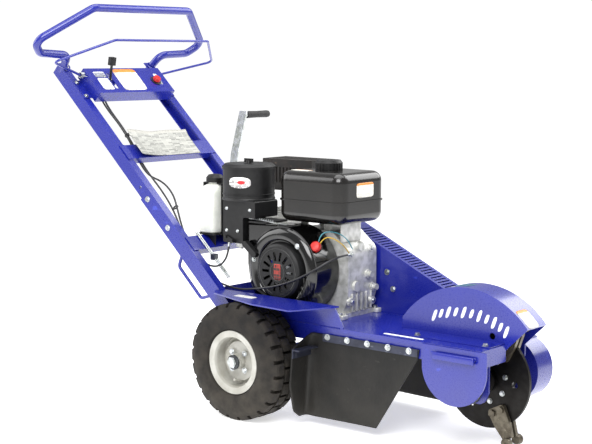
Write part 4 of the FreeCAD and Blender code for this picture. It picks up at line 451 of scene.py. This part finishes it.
def swept(path, radius, sides=12, ripple=0.0, pitch=0.004):
    """Tube along a path: p(s) + r * (1 + ripple * cos(2 pi s / pitch)) * (cos t, sin t)."""
    path = np.asarray(path, float)
    tangent = np.gradient(path, axis=0)
    tangent /= np.linalg.norm(tangent, axis=1, keepdims=True)
    lead = X_AXIS if abs(tangent[:, 0]).mean() < 0.8 else Z_AXIS
    u = np.cross(tangent, lead)
    u /= np.linalg.norm(u, axis=1, keepdims=True)
    w = np.cross(tangent, u)
    run = np.concatenate([[0.0], np.cumsum(np.linalg.norm(np.diff(path, axis=0), axis=1))])
    width = radius * (1.0 + ripple * np.cos(2.0 * math.pi * run / pitch))
    width[[0, -1]] *= 0.98
    t = np.linspace(0.0, 2.0 * math.pi, sides, endpoint=False)
    ring = np.cos(t)[None, :, None] * u[:, None] + np.sin(t)[None, :, None] * w[:, None]
    points = (path[:, None] + width[:, None, None] * ring).reshape(-1, 3)
    return points, tube_faces(len(path), sides)


def joined(*parts):
    """Several (points, faces) surfaces as one."""
    points, faces, start = [], [], 0
    for some, quads in parts:
        points.append(np.asarray(some, float))
        faces += [[int(k) + start for k in f] for f in quads]
        start += len(some)
    return np.concatenate(points), faces


def slab(low, high, soft=2.0):
    """Block with rounded edges: superellipse |x/a|^6 + |y/b|^6 = 1 drawn in at both ends."""
    low, high = np.asarray(low, float), np.asarray(high, float)
    middle, half = (low + high) / 2.0, (high - low) / 2.0
    outline = superellipse(40, 6.0)
    soft = soft * MM
    rows = []
    for turn in (-90.0, -60.0, -30.0, 0.0, 0.0, 30.0, 60.0, 90.0):
        pull = soft * (1.0 - math.cos(math.radians(turn)))
        rise = soft * math.sin(math.radians(turn))
        side = -1.0 if len(rows) < 4 else 1.0
        z = middle[2] + side * (half[2] - soft) + rise
        ring = outline * (half[:2] - pull)
        rows.append(np.column_stack([middle[0] + ring[:, 0], middle[1] + ring[:, 1],
                                     np.full(40, z)]))
    return np.concatenate(rows), tube_faces(8, 40)


def label(name, place, width, height, look, corner=8.0):
    """Thin label: place(x, y) of a superellipse |2x/w|^n + |2y/h|^n <= 1, then thickened."""
    rings = np.linspace(0.02, 1.0, 9)
    flat = (rings[:, None, None] * superellipse(64, corner)[None]).reshape(-1, 2)
    faces = [list(f) for f in grid_faces(9, 64, wrap=True)] + [list(range(64))]
    points = place(flat[:, 0] * width / 2.0, flat[:, 1] * height / 2.0)
    thicken(add_piece(name, (points, faces), look, uv=flat / 2.0 + 0.5), "Film", LABEL_FILM)


def flat_place(centre, right, up):
    """Places label points on a plane: centre + x * right + y * up."""
    centre, right, up = np.asarray(centre, float), unit(right), unit(up)
    return lambda x, y: centre + x[:, None] * right + y[:, None] * up


def round_place(centre, radius, angle, height):
    """Places label points round an upright cylinder, at an angle in degrees."""
    def place(x, y):
        t = math.radians(angle) + x / radius
        return np.column_stack([centre[0] + radius * np.cos(t),
                                centre[1] + radius * np.sin(t), height + y])
    return place


def hex_bolts(name, places, axis, across, body="frame", washer=1.6):
    """Zinc hex heads with washers at several places, all facing along one axis."""
    r = across / 2.0
    ring = [(0.01, 0.0), (washer * r, 0.0), (washer * r, 0.1 * r),
            (washer * r - 0.3, 0.16 * r), (0.01, 0.16 * r)]
    head = [(0.01, 0.1 * r), (1.1 * r, 0.1 * r), (1.1 * r, 0.7 * r), (0.95 * r, 0.85 * r),
            (0.01, 0.85 * r)]
    parts = [revolved(profile, place, axis, steps) for place in places
             for profile, steps in ((ring, 20), (head, 6))]
    add_piece(name, joined(*parts), "zinc", body)


# ---- pieces


class GrinderSettings(bpy.types.PropertyGroup):
    """Sizes and colours that a user would change."""

    paint: FloatVectorProperty(
        name="Paint", description="sRGB colour of the powder coat", subtype="COLOR_GAMMA",
        size=3, min=0.0, max=1.0, default=(0.085, 0.125, 0.53))
    cable_diameter: FloatProperty(
        name="Cable diameter", description="Diameter of the cable and lead sheaths",
        subtype="DISTANCE", unit="LENGTH", default=0.006, min=0.003, max=0.01)
    curtain_bow: FloatProperty(
        name="Curtain bow", description="How far the rubber curtains bow outward",
        subtype="DISTANCE", unit="LENGTH", default=0.010, min=0.0, max=0.03)
    light_power: FloatProperty(
        name="Key light", description="Power of the main studio light", subtype="POWER",
        unit="POWER", default=150.0, min=1.0, max=500.0)


def free_cord(name, points, diameter, look):
    """One cord: an open spline of order three along given points."""
    curve = bpy.data.curves.new(name, "CURVE")
    curve.dimensions = "3D"
    curve.bevel_depth = diameter / 2.0
    curve.bevel_resolution = 4
    curve.resolution_u = 10
    curve.use_fill_caps = True
    spline = curve.splines.new("NURBS")
    spline.points.add(len(points) - 1)
    for control, place in zip(spline.points, points):
        control.co = (*place, 1.0)
    spline.order_u = 3
    spline.use_endpoint_u = True
    curve.materials.append(LOOKS[look])
    piece = bpy.data.objects.new(name, curve)
    bpy.context.scene.collection.objects.link(piece)
    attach(piece, "frame")
    return piece


class AddCables(bpy.types.Operator):
    """Throttle cable and stop-switch lead, with ferrules at their ends"""

    bl_idname = "grinder.add_cables"
    bl_label = "Cables"

    def execute(self, context):
        diameter = context.scene.grinder.cable_diameter
        throttle = [rail_point(*p) for p in (
            (-62, 30, -122), (-36, 15, -124), (20, 12, -124),
            (90, 16, -124), (160, 10, -124), (225, -7, -124),
            (286, -9, -124), (342, 22, -120), (400, 28, -122),
            (452, 14, -132), (506, 1, -146), (560, -1, -162),
            (618, -2, -158), (664, 1, -156))]
        throttle += [np.array(p) for p in (
            (-0.1675, -0.156, 0.404), (-0.1375, -0.158, 0.418), (-0.1175, -0.157, 0.448),
            (-0.1135, -0.156, 0.4832))]
        lead = [rail_point(*p) for p in (
            (-62, 30, -110), (-36, 15, -112), (20, 9, -112),
            (90, 11, -112), (160, 5, -112), (225, -10, -112),
            (286, -12, -112), (346, -8, -114), (404, -8, -118),
            (460, -8, -130), (512, -8, -148), (566, -9, -166),
            (622, -9, -168), (676, -10, -166), (722, -6, -158))]
        lead += [np.array(p) for p in (
            (-0.1235, -0.143, 0.346), (-0.0675, -0.152, 0.346), (-0.0035, -0.174, 0.358),
            (0.0565, -0.177, 0.368), (0.1145, -0.177, 0.384), (0.1665, -0.173, 0.404),
            (0.2145, -0.158, 0.432), (0.2445, -0.128, 0.458), (0.2585, -0.088, 0.470),
            (0.2519, -0.046, 0.468))]
        cable = free_cord("throttle_cable", throttle, diameter, "sheath")
        wire = free_cord("stop_lead", lead, diameter, "sheath")
        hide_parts("control_cables")
        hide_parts("control_cables")
        ends = [(route[k], route[n]) for route in (throttle, lead)
                for k, n in ((0, 1), (-1, -2))]
        parts = [revolved([(0.01, -1), (4.2, -1), (4.2, 9), (3.6, 12),
                           (0.01, 12)], a, b - a, 20) for a, b in ends]
        add_piece("cable_ferrules", joined(*parts), "zinc")
        return {"FINISHED"}


class AddTag(bpy.types.Operator):
    """Laminated instruction card that lies curled over the middle cross member"""

    bl_idname = "grinder.add_tag"
    bl_label = "Instruction card"

    def execute(self, context):
        right, left, top, bottom = -146.0, 124.0, 134.0, 236.0
        y, run = np.meshgrid(np.linspace(right, left, 60), np.linspace(top, bottom, 22),
                             indexing="ij")
        free = np.clip((-y - 20.0) / 126.0, 0.0, 1.0)
        back = np.clip((184.0 - run) / 50.0, 0.0, 1.0)
        lift = 25.3 + 17.0 * free ** 1.7 + 7.0 * back ** 2 + 1.2 * np.sin(y / 21.0) * back
        x = RAIL_TOP[0] + MM * (run * math.cos(RAIL_TILT) + lift * math.sin(RAIL_TILT))
        z = RAIL_TOP[2] + MM * (lift * math.cos(RAIL_TILT) - run * math.sin(RAIL_TILT))
        points = np.stack([x, y * MM, z], axis=-1).reshape(-1, 3)
        uv = np.stack([(y - right) / (left - right), (bottom - run) / (bottom - top)], axis=-1)
        card = add_piece("instruction_card", (points, grid_faces(60, 22)), "card",
                         uv=uv.reshape(-1, 2))
        thicken(card, "Film", CARD_FILM)
        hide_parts("operator_tag")
        return {"FINISHED"}


class AddCurtains(bpy.types.Operator):
    """Rubber debris curtains with their turned-in wings, both sides"""

    bl_idname = "grinder.add_curtains"
    bl_label = "Debris curtains"

    def execute(self, context):
        bow = context.scene.grinder.curtain_bow
        v = np.linspace(0.0, 1.0, 30)
        z_side = 0.262 - 0.236 * v
        wing_reach = -np.interp(z_side, [0.026, 0.044, 0.120, 0.225, 0.262],
                                [0.040, 0.064, 0.086, 0.082, 0.0])
        front_reach = np.interp(z_side, [0.026, 0.238, 0.262], [0.231, 0.366, 0.370])
        u = np.linspace(0.0, 1.0, 70)
        s = wing_reach[:, None] + u[None] * (front_reach - wing_reach)[:, None]
        z = np.broadcast_to(z_side[:, None], s.shape)
        fade = 0.5 + 0.5 * np.tanh(s / 0.008)
        x = 0.2255 + 0.008 * np.logaddexp(0.0, s / 0.008) - 0.012 * (1 - fade) * v[:, None]
        y = 0.1828 + 0.008 * np.logaddexp(0.0, -s / 0.008)
        hang = np.clip((0.238 - z) / 0.2, 0.0, 1.0)
        y = y + fade * bow * hang ** 1.3 * (0.6 + 0.4 * np.cos(s * 14.0))
        x = x + 0.018 * hang * fade * np.clip((0.06 - s) / 0.06, 0.0, 1.0)
        for side, name in SIDES:
            points = np.stack([x, side * y, z], axis=-1).reshape(-1, 3)
            piece = add_piece("debris_curtain_" + name, (points, grid_faces(30, 70)),
                              "curtain")
            thicken(piece, "Rubber", CURTAIN_WALL)
            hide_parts("debris_flap_" + name)
        return {"FINISHED"}


class AddBottle(bpy.types.Operator):
    """Blow-moulded fluid bottle with a shoulder, panel and threaded neck"""

    bl_idname = "grinder.add_bottle"
    bl_label = "Fluid bottle"

    def execute(self, context):
        low, high = (np.array(corner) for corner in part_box("fluid_bottle"))
        middle, half = (low + high) / 2.0, (high - low) / 2.0
        heights = np.array([0.0, 0.01, 0.04, 0.12, 0.4, 0.62, 0.74, 0.82, 0.87, 0.905,
                            0.91, 0.93, 0.94, 0.96, 0.97, 1.0])
        widths = np.array([0.80, 0.90, 0.985, 1.0, 0.985, 1.0, 1.0, 0.93, 0.76, 0.54, 0.50,
                           0.54, 0.50, 0.54, 0.50, 0.50])
        square = np.interp(heights, [0.0, 0.8, 0.9, 1.0], [5.0, 5.0, 2.0, 2.0])
        neck = 0.038
        rows = []
        for h, w, n in zip(heights, widths, square):
            round_off = np.clip((h - 0.8) / 0.1, 0.0, 1.0)
            reach = half[:2] * w * (1 - round_off) + neck * w * round_off
            rows.append(np.column_stack([middle[:2] + reach * superellipse(72, n),
                                         np.full(72, low[2] + h * (half[2] * 2.0))]))
        surface = np.concatenate(rows), tube_faces(len(rows), 72)
        bottle = add_piece("fluid_bottle_shell", surface, "polyethylene")
        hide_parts("fluid_bottle")
        return {"FINISHED"}


class AddWheelDetail(bpy.types.Operator):
    """Sidewall ribs, hub seals, and bolts with washers of both wheels"""

    bl_idname = "grinder.add_wheel_detail"
    bl_label = "Wheel detail"

    def execute(self, context):
        for side, name in SIDES:
            body = "wheel_" + name
            axis = side * Y_AXIS
            outer = 0 if side < 0 else 1
            centre = (WHEEL[0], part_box("tyre_" + name)[outer][1], WHEEL[2])
            ribs = []
            for radius, rise in ((101, -13.5), (108, -9.8), (128, -3.4)):
                ribs.append(revolved([(radius - 1.6, rise - 3), (radius - 1, rise),
                                      (radius, rise + 0.8), (radius + 1, rise),
                                      (radius + 1.6, rise - 3), (radius - 1.6, rise - 3)],
                                     centre, axis, 96))
            add_piece("sidewall_ribs_" + name, joined(*ribs), "tyre", body)
            hub = (WHEEL[0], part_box("rim_" + name)[outer][1], WHEEL[2])
            collar = revolved([(13.6, -6), (21, -6), (21, -1.4), (19.5, -0.6),
                               (13.6, -0.6), (13.6, -6)], hub, axis, 40)
            add_piece("hub_seal_" + name, collar, "cast_iron", body)
            spots = [round_axis(hub, 0.034, t, hub[1] - 0.0235 * side)
                     for t in (45, 135, 225, 315)]
            hex_bolts("rim_bolts_" + name, spots, axis, 11.0, body)
        return {"FINISHED"}


class AddEngineDetail(bpy.types.Operator):
    """Fan cover ribs and bolts, switch, clamps, linkages, bosses and crankcase bolts"""

    bl_idname = "grinder.add_engine_detail"
    bl_label = "Engine detail"

    def execute(self, context):
        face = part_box("fan_cover")[0][1]
        bulge = [(89, -1), (90, 6), (96, 11), (106, 12.5), (116, 10),
                 (124, 4), (127, -1), (89, -1)]
        add_piece("fan_cover_bulge", revolved(bulge, (CRANK[0], face, CRANK[2]), -Y_AXIS,
                                              120), "gloss_black")
        ribs = []
        for k in range(6):
            x = CRANK[0] + 0.066 + 0.009 * k
            reach = math.sqrt(max(0.0, 0.126 ** 2 - (x - CRANK[0]) ** 2))
            h = np.linspace(0.0, 1.0, 16)
            z = CRANK[2] - reach * 0.96 + h * reach * (0.95 - 0.05 * k)
            out = np.hypot(x - CRANK[0], z - CRANK[2]) / MM
            rise = MM * np.interp(out, [0.0, 89.0, 96.0, 106.0, 116.0, 124.0, 127.0],
                                  [0.5, 3.0, 11.0, 12.5, 10.0, 4.0, -1.0])
            ribs.append(swept(np.column_stack([np.full(16, x), face - rise, z]), 0.0024, 10))
        add_piece("fan_cover_ribs", joined(*ribs), "gloss_black")
        recoil = [round_axis(CRANK, 0.103, t, face - 0.012) for t in (50, 165, 250)]
        hex_bolts("recoil_bolts", recoil, -Y_AXIS, 10.0)
        lug = [(0.01, -1), (11, -1), (11, 0.8), (9, 1.4), (0.01, 1.4)]
        lugs = [revolved(lug, round_axis(CRANK, 0.119, t, face), -Y_AXIS, 28)
                for t in (75, 200, 300)]
        add_piece("fan_cover_lugs", joined(*lugs), "gloss_black")
        hub = np.array([CRANK[0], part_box("recoil_cover")[0][1], CRANK[2]])
        rings = [revolved([(r, -0.4), (r + 0.6, 0.6), (r + 2.4, 0.6), (r + 3, -0.4),
                           (r, -0.4)], hub, -Y_AXIS, 64) for r in (24.0, 66.0)]
        add_piece("recoil_rings", joined(*rings), "gloss_black")
        self.add_switch()
        self.add_intake()
        self.add_castings()
        return {"FINISHED"}

    def add_switch(self):
        """Red stop switch body on the fan cover's shoulder, its collar and wires."""
        spot = np.array([0.196, -0.126, 0.492])
        out = unit((0.35, -0.8, 0.5))
        body = revolved([(0.01, 0), (15, 0), (16, 3), (14.5, 12), (11, 15),
                         (0.01, 15.5)], spot, out, 28)
        add_piece("engine_switch", body, "red_plastic")
        collar = revolved([(0.01, -12), (12, -12), (17.5, -2), (17.5, 1),
                           (0.01, 1)], spot, out, 28)
        add_piece("engine_switch_collar", collar, "black_plastic")
        routes = (("switch_wire_yellow", "wire_yellow", 0.139,
                   ((0.204, -0.122, 0.500), (0.214, -0.116, 0.522), (0.236, -0.098, 0.520),
                    (0.2535, -0.074, 0.498), (0.2525, -0.050, 0.476), (0.2489, -0.034, 0.462))),
                  ("switch_wire_teal", "wire_teal", 0.147,
                   ((0.198, -0.120, 0.503), (0.196, -0.110, 0.528), (0.216, -0.090, 0.537),
                    (0.238, -0.066, 0.528), (0.251, -0.044, 0.505), (0.2489, -0.028, 0.482))))
        for name, look, length, points in routes:
            free_cord(name, points, WIRE_DIAMETER, look)

    def add_intake(self):
        """Clamp band, cleaner base ring, governor rod and spring by the carburettor."""
        seam = [(76.6, 14), (78.4, 15), (78.4, 17), (76.6, 18), (76.6, 14)]
        foot = [(60, -4), (78, -2), (79, 2), (77, 6), (60, 6), (60, -4)]
        add_piece("cleaner_rings", joined(revolved(seam, CLEANER, Z_AXIS, 96),
                                           revolved(foot, CLEANER, Z_AXIS, 96)),
                  "black_plastic")
        start, end = np.array([-0.040, -0.150, 0.560]), np.array([0.094, -0.136, 0.549])
        way = np.linspace(0.0, 1.0, 14)[:, None]
        rod = swept(start + way * (end - start), 0.0016, 8)
        turns = np.linspace(0.0, 1.0, 160)
        angle = 2.0 * math.pi * 11.0 * turns
        coil = 0.0042 * np.column_stack([0.0 * angle, np.cos(angle), np.sin(angle)])
        spring_path = start + 0.010 * Y_AXIS + turns[:, None] * (end - start) * 0.62 + coil
        add_piece("governor_link", joined(rod, swept(spring_path, 0.0007, 6)), "zinc")
        plate = slab((-0.044, -0.158, 0.548), (0.034, -0.052, 0.553), 1.5)
        arm = slab((0.070, -0.146, 0.545), (0.120, -0.128, 0.5495), 1.5)
        add_piece("control_plate", joined(plate, arm), "black_plastic")
        screws = [(-0.118, -0.162, 0.520), (-0.074, -0.162, 0.520), (-0.118, -0.162, 0.585),
                  (-0.026, -0.162, 0.585)]
        hex_bolts("intake_screws", screws, -Y_AXIS, 8.0, washer=1.3)
        bowl = revolved([(0.01, -22), (6, -22), (7, -18), (16, -16),
                         (17, -4), (17, 2), (0.01, 2)],
                        (-0.098, -0.120, 0.484), Z_AXIS, 36)
        add_piece("carburettor_bowl", bowl, "cast_aluminium")

    def add_castings(self):
        """Bosses, ribs and bolts on the front and top of the crankcase."""
        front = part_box("crankcase")[1][0]
        parts = []
        for y, z, r, out in ((-0.034, 0.330, 12, 7), (0.066, 0.322, 12, 7),
                             (-0.036, 0.466, 11, 6), (0.010, 0.486, 14, 8),
                             (0.060, 0.476, 11, 6), (-0.012, 0.372, 16, 10)):
            parts.append(revolved([(0.01, -2), (r + 2, -2), (r, 1.5), (r - 1, out),
                                   (0.01, out)], (front - 0.002, y, z), X_AXIS, 26))
        for k in range(5):
            y = -0.028 + 0.022 * k
            parts.append(slab((front - 0.004, y - 0.002, 0.300),
                              (front + 0.004, y + 0.002, 0.352), 1.4))
        add_piece("crankcase_bosses", joined(*parts), "cast_aluminium")
        bolts = [(front + 0.005, -0.034, 0.330), (front + 0.005, 0.066, 0.322),
                 (front + 0.004, -0.036, 0.466), (front + 0.004, 0.060, 0.476)]
        hex_bolts("crankcase_bolts", bolts, X_AXIS, 10.0, washer=1.3)
        feet = [(x, y, 0.2965) for x in (0.010, 0.238) for y in (-0.072, 0.094)]
        pads = [slab((x - 0.022, y - 0.016, 0.283), (x + 0.022, y + 0.016, 0.296), 2.0)
                for x, y, _ in feet]
        add_piece("engine_feet", joined(*pads), "cast_aluminium")
        hex_bolts("engine_mount_bolts", feet, Z_AXIS, 13.0)
        stay = slab((0.222, -0.052, 0.500), (0.228, 0.040, 0.560), 1.5)
        add_piece("tank_stay_plate", stay, "cast_aluminium")
        fins = []
        for k in range(7):
            shift = np.array([0.017 * k, 0.0, -0.0074 * k])
            fins.append(slab(np.array([-0.1165, -0.049, 0.470]) + shift,
                             np.array([-0.1125, 0.086, 0.566]) + shift * (1, 1, 0.6), 1.5))
        add_piece("cylinder_fins", joined(*fins), "cast_aluminium")


class AddChassisDetail(bpy.types.Operator):
    """Weld beads, spring, lever grip, cable ties and extra fasteners of the chassis"""

    bl_idname = "grinder.add_chassis_detail"
    bl_label = "Chassis detail"

    def execute(self, context):
        beads = []
        t = np.linspace(0.0, 2.0 * math.pi, 49)
        for side in (-1.0, 1.0):
            centre = np.array([-0.8010, side * 0.1885, 0.9985])
            ring = centre + 0.0135 * (np.cos(t)[:, None] * Y_AXIS
                                      + np.sin(t)[:, None] * unit((0.73, 0.0, -0.68)))
            beads.append(swept(ring, 0.0024, 8, 0.18, 0.004))
            for run, lift in ((178.0, 24.3), (240.0, 24.3)):
                line = np.array([rail_point(run, lift - 2.6, side * (174.2 + 19.0 * h))
                                 for h in np.linspace(0.0, 1.0, 24)])
                beads.append(swept(line, 0.0018, 8, 0.2, 0.004))
            skirt = np.array([(x, side * 0.1803, 0.2835)
                              for x in np.linspace(-0.060, 0.325, 120)])
            beads.append(swept(skirt, 0.0016, 8, 0.15, 0.005))
        add_piece("weld_beads", joined(*beads), "powder_coat")
        turns = np.linspace(0.0, 1.0, 180)
        angle = 2.0 * math.pi * 6.0 * turns
        pivot = np.array([-0.7429, -0.166, 0.9701])
        coil = pivot + np.column_stack([0.0085 * np.cos(angle), -0.015 * turns,
                                        0.0085 * np.sin(angle)])
        leg = coil[-1] + np.linspace(0.0, 1.0, 12)[1:, None] * np.array([0.026, 0.0, -0.004])
        add_piece("bail_spring", swept(np.vstack([coil, leg]), 0.0011, 8), "zinc")
        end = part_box("tension_lever")[1][1]
        grip = revolved([(8.05, 0), (11, 1), (11.5, 5), (10.6, 50), (11.5, 96),
                         (10.5, 103), (6, 105), (0.01, 105.2)],
                        (-0.3233, end - 0.1048, 0.8450), Y_AXIS, 32)
        add_piece("lever_grip", grip, "soft_rubber", "tension_lever")
        band = [(5, -2), (9, -2), (9.5, 0), (9, 2), (5, 2), (5, -2)]
        bands = [revolved(band, rail_point(run, lift, -118), RAIL_ALONG, 28)
                 for run, lift in ((128.0, 12.0), (432.0, 2.0))]
        add_piece("cable_ties", joined(*bands), "black_plastic")
        guard = [(0.302, 0.176, 0.366), (0.640, 0.176, 0.288), (0.640, 0.176, 0.118),
                 (0.300, 0.176, 0.300)]
        hex_bolts("guard_plate_bolts", guard, Y_AXIS, 11.0)
        ring = revolved([(14.5, 0), (19, 0), (19, 2), (16, 3), (14.5, 3),
                         (14.5, 0)], rail_point(-66, 61.4, 112), RAIL_SQUARE, 36)
        add_piece("switch_bezel", ring, "black_plastic")
        bolts = [rail_point(-128.0 + run, 24.2, side * 186)
                 for run in (26.0, 86.0) for side in (-1, 1)]
        hex_bolts("console_bolts", bolts, RAIL_SQUARE, 10.0)
        bolts = [round_axis(CUTTER, 0.060, 12 + 45 * k, -0.0224) for k in range(8)]
        hex_bolts("disc_bolts", bolts, -Y_AXIS, 12.0, "cutter", 1.3)
        lip = slab((0.642, -0.1985, 0.247), (0.772, -0.188, 0.266), 4.0)
        add_piece("side_guard_lip", lip, "powder_coat")
        return {"FINISHED"}


class AddLabels(bpy.types.Operator):
    """Plain labels and marks with no lettering"""

    bl_idname = "grinder.add_labels"
    bl_label = "Labels"

    def execute(self, context):
        low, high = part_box("fuel_tank")
        top = flat_place((0.092, low[1] + 0.052, 0.7025), X_AXIS, Y_AXIS)
        label("tank_top_label", top, 0.064, 0.030, "label_orange")
        front = flat_place((high[0] - 0.0036, -0.006, 0.652), Y_AXIS, Z_AXIS)
        label("tank_side_label", front, 0.078, 0.042, "label_orange")
        label("cleaner_label", round_place(CLEANER, 0.0770, -69.0, 0.664), 0.070, 0.032,
              "label_dot", corner=2.6)
        badge = (CRANK[0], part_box("recoil_cover")[0][1] - 0.0004, CRANK[2])
        for name, centre, right, up, wide, tall, look in (
                ("recoil_badge", badge, X_AXIS, Z_AXIS, 0.026, 0.046, "badge"),
                ("console_plate_middle", rail_point(-74, 61.6, 0), Y_AXIS, -RAIL_ALONG,
                 0.100, 0.098, "label_orange"),
                ("console_plate_lever", rail_point(-56, 61.6, -114), Y_AXIS, -RAIL_ALONG,
                 0.046, 0.052, "label_white"),
                ("console_plate_slot", rail_point(-99, 61.6, -114), Y_AXIS, -RAIL_ALONG,
                 0.046, 0.026, "label_grey"),
                ("console_plate_switch", rail_point(-74, 61.6, 128), Y_AXIS, -RAIL_ALONG,
                 0.016, 0.050, "label_grey"),
                ("cover_label", (0.020, -0.232, 0.3453), X_AXIS, Y_AXIS, 0.074, 0.026,
                 "label_white"),
                ("deck_label", (0.520, -0.150, 0.2833), X_AXIS, Y_AXIS, 0.13, 0.012,
                 "mark_white")):
            label(name, flat_place(centre, right, up), wide, tall, look)
        for k in range(11):
            t = math.radians(125.0 - 8.4 * k)
            centre = HOOD + 0.170 * np.array([math.cos(t), 0.0, 0.62 * math.sin(t)])
            centre[1] = HOOD_SIDE
            centre[2] += 0.078
            place = flat_place(centre, (1.0, 0.0, 0.1), (0.35, 0.0, 1.0))
            label("hood_mark_%02d" % k, place, 0.011, 0.026 if k % 2 else 0.034,
                  "mark_white", corner=3.0)
        for name, angle, y, wide, tall, look in (
                ("hood_warning", 47.0, -0.030, 0.052, 0.060, "label_orange"),
                ("hood_emblem", 96.0, -0.022, 0.046, 0.046, "mark_teal")):
            def place(a, b, angle=angle, y=y):
                t = math.radians(angle) + b / HOOD_RADIUS
                reach = HOOD_RADIUS + 0.0004
                return np.column_stack([HOOD[0] + reach * np.cos(t), y + a,
                                        HOOD[2] + reach * np.sin(t)])
            label(name, place, wide, tall, look)
        return {"FINISHED"}


class AddStage(bpy.types.Operator):
    """Pale floor, soft studio light and the camera"""

    bl_idname = "grinder.add_stage"
    bl_label = "Stage"

    def execute(self, context):
        scene = context.scene
        floor_look, shader = blank("matt_white_floor")
        place = add_node(floor_look, "TexCoord").outputs["Object"]
        speck = noise(floor_look, place, 40.0)
        floor_look.node_tree.links.new(
            ramp(floor_look, speck, linear("f3f3f3"), linear("f7f7f7")),
            shader.inputs["Base Color"])
        shader.inputs["Roughness"].default_value = 0.8
        shader.inputs["Emission Color"].default_value = WHITE
        shader.inputs["Emission Strength"].default_value = FLOOR_GLOW
        mesh = bpy.data.meshes.new("floor")
        mesh.from_pydata([(x * FLOOR_REACH, y * FLOOR_REACH, 0.0)
                          for x, y in ((-1, -1), (1, -1), (1, 1), (-1, 1))], [],
                         [(0, 1, 2, 3)])
        mesh.materials.append(floor_look)
        floor = bpy.data.objects.new("floor", mesh)
        floor.location.z = -FLOOR_GAP
        scene.collection.objects.link(floor)
        world = bpy.data.worlds.new("studio")
        scene.world = world
        world.use_nodes = True
        backdrop = world.node_tree.nodes["Background"]
        backdrop.inputs["Color"].default_value = WHITE
        seen = add_node(world, "LightPath").outputs["Is Camera Ray"]
        level = add_node(world, "MapRange", Value=seen, To_Min=SKY_LIGHT, To_Max=SKY_SEEN)
        world.node_tree.links.new(level.outputs["Result"], backdrop.inputs["Strength"])
        power = scene.grinder.light_power
        for name, spot, wide, share in (("key", (1.6, -2.6, 2.9), 2.2, 1.0),
                                        ("fill", (-2.8, -1.6, 2.2), 2.6, 0.45),
                                        ("rim", (1.0, 2.8, 2.6), 2.4, 0.6),
                                        ("top", (0.0, 0.0, 3.6), 3.0, 0.6)):
            data = bpy.data.lights.new(name, "AREA")
            data.energy = power * share
            data.size = wide
            lamp = bpy.data.objects.new(name, data)
            lamp.location = spot
            aim = Vector((0.0, 0.0, 0.45)) - Vector(spot)
            lamp.rotation_euler = aim.to_track_quat("-Z", "Y").to_euler()
            scene.collection.objects.link(lamp)
        data = bpy.data.cameras.new("camera")
        data.lens = CAMERA_LENS
        data.sensor_width = 36.0
        camera = bpy.data.objects.new("camera", data)
        camera.location = CAMERA_SPOT
        camera.rotation_euler = CAMERA_TURN
        scene.collection.objects.link(camera)
        scene.camera = camera
        scene.view_settings.view_transform = "Standard"
        return {"FINISHED"}


class PaintFrame(bpy.types.Operator):
    """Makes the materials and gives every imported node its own"""

    bl_idname = "grinder.paint_frame"
    bl_label = "Paint the frame"

    def execute(self, context):
        LOOKS.update(make_looks())
        for look, names in NODE_LOOKS.items():
            for name in names:
                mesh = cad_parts[name].data
                mesh.materials.clear()
                mesh.materials.append(LOOKS[look])
        return {"FINISHED"}


class GRINDER_PT_panel(bpy.types.Panel):
    """Lists the operators and settings in the sidebar"""

    bl_label = "Stump grinder"
    bl_idname = "GRINDER_PT_panel"
    bl_space_type = "VIEW_3D"
    bl_region_type = "UI"
    bl_category = "Grinder"

    def draw(self, context):
        for name in GrinderSettings.__annotations__:
            self.layout.prop(context.scene.grinder, name)
        for operator in OPERATORS:
            self.layout.operator(operator.bl_idname)


OPERATORS = (AddStage, PaintFrame, AddCables, AddTag, AddCurtains, AddBottle,
             AddWheelDetail, AddEngineDetail, AddChassisDetail, AddLabels)
CLASSES = (GrinderSettings,) + OPERATORS + (GRINDER_PT_panel,)


def register():
    """Registers the classes and the scene's settings."""
    for cls in CLASSES:
        bpy.utils.register_class(cls)
    bpy.types.Scene.grinder = PointerProperty(type=GrinderSettings)


def unregister():
    """Removes what register() added."""
    del bpy.types.Scene.grinder
    for cls in reversed(CLASSES):
        bpy.utils.unregister_class(cls)


def main():
    """Registers the classes and builds everything in order."""
    register()
    for operator in OPERATORS:
        group, name = operator.bl_idname.split(".")
        getattr(getattr(bpy.ops, group), name)()


if __name__ == "__main__":
    main()
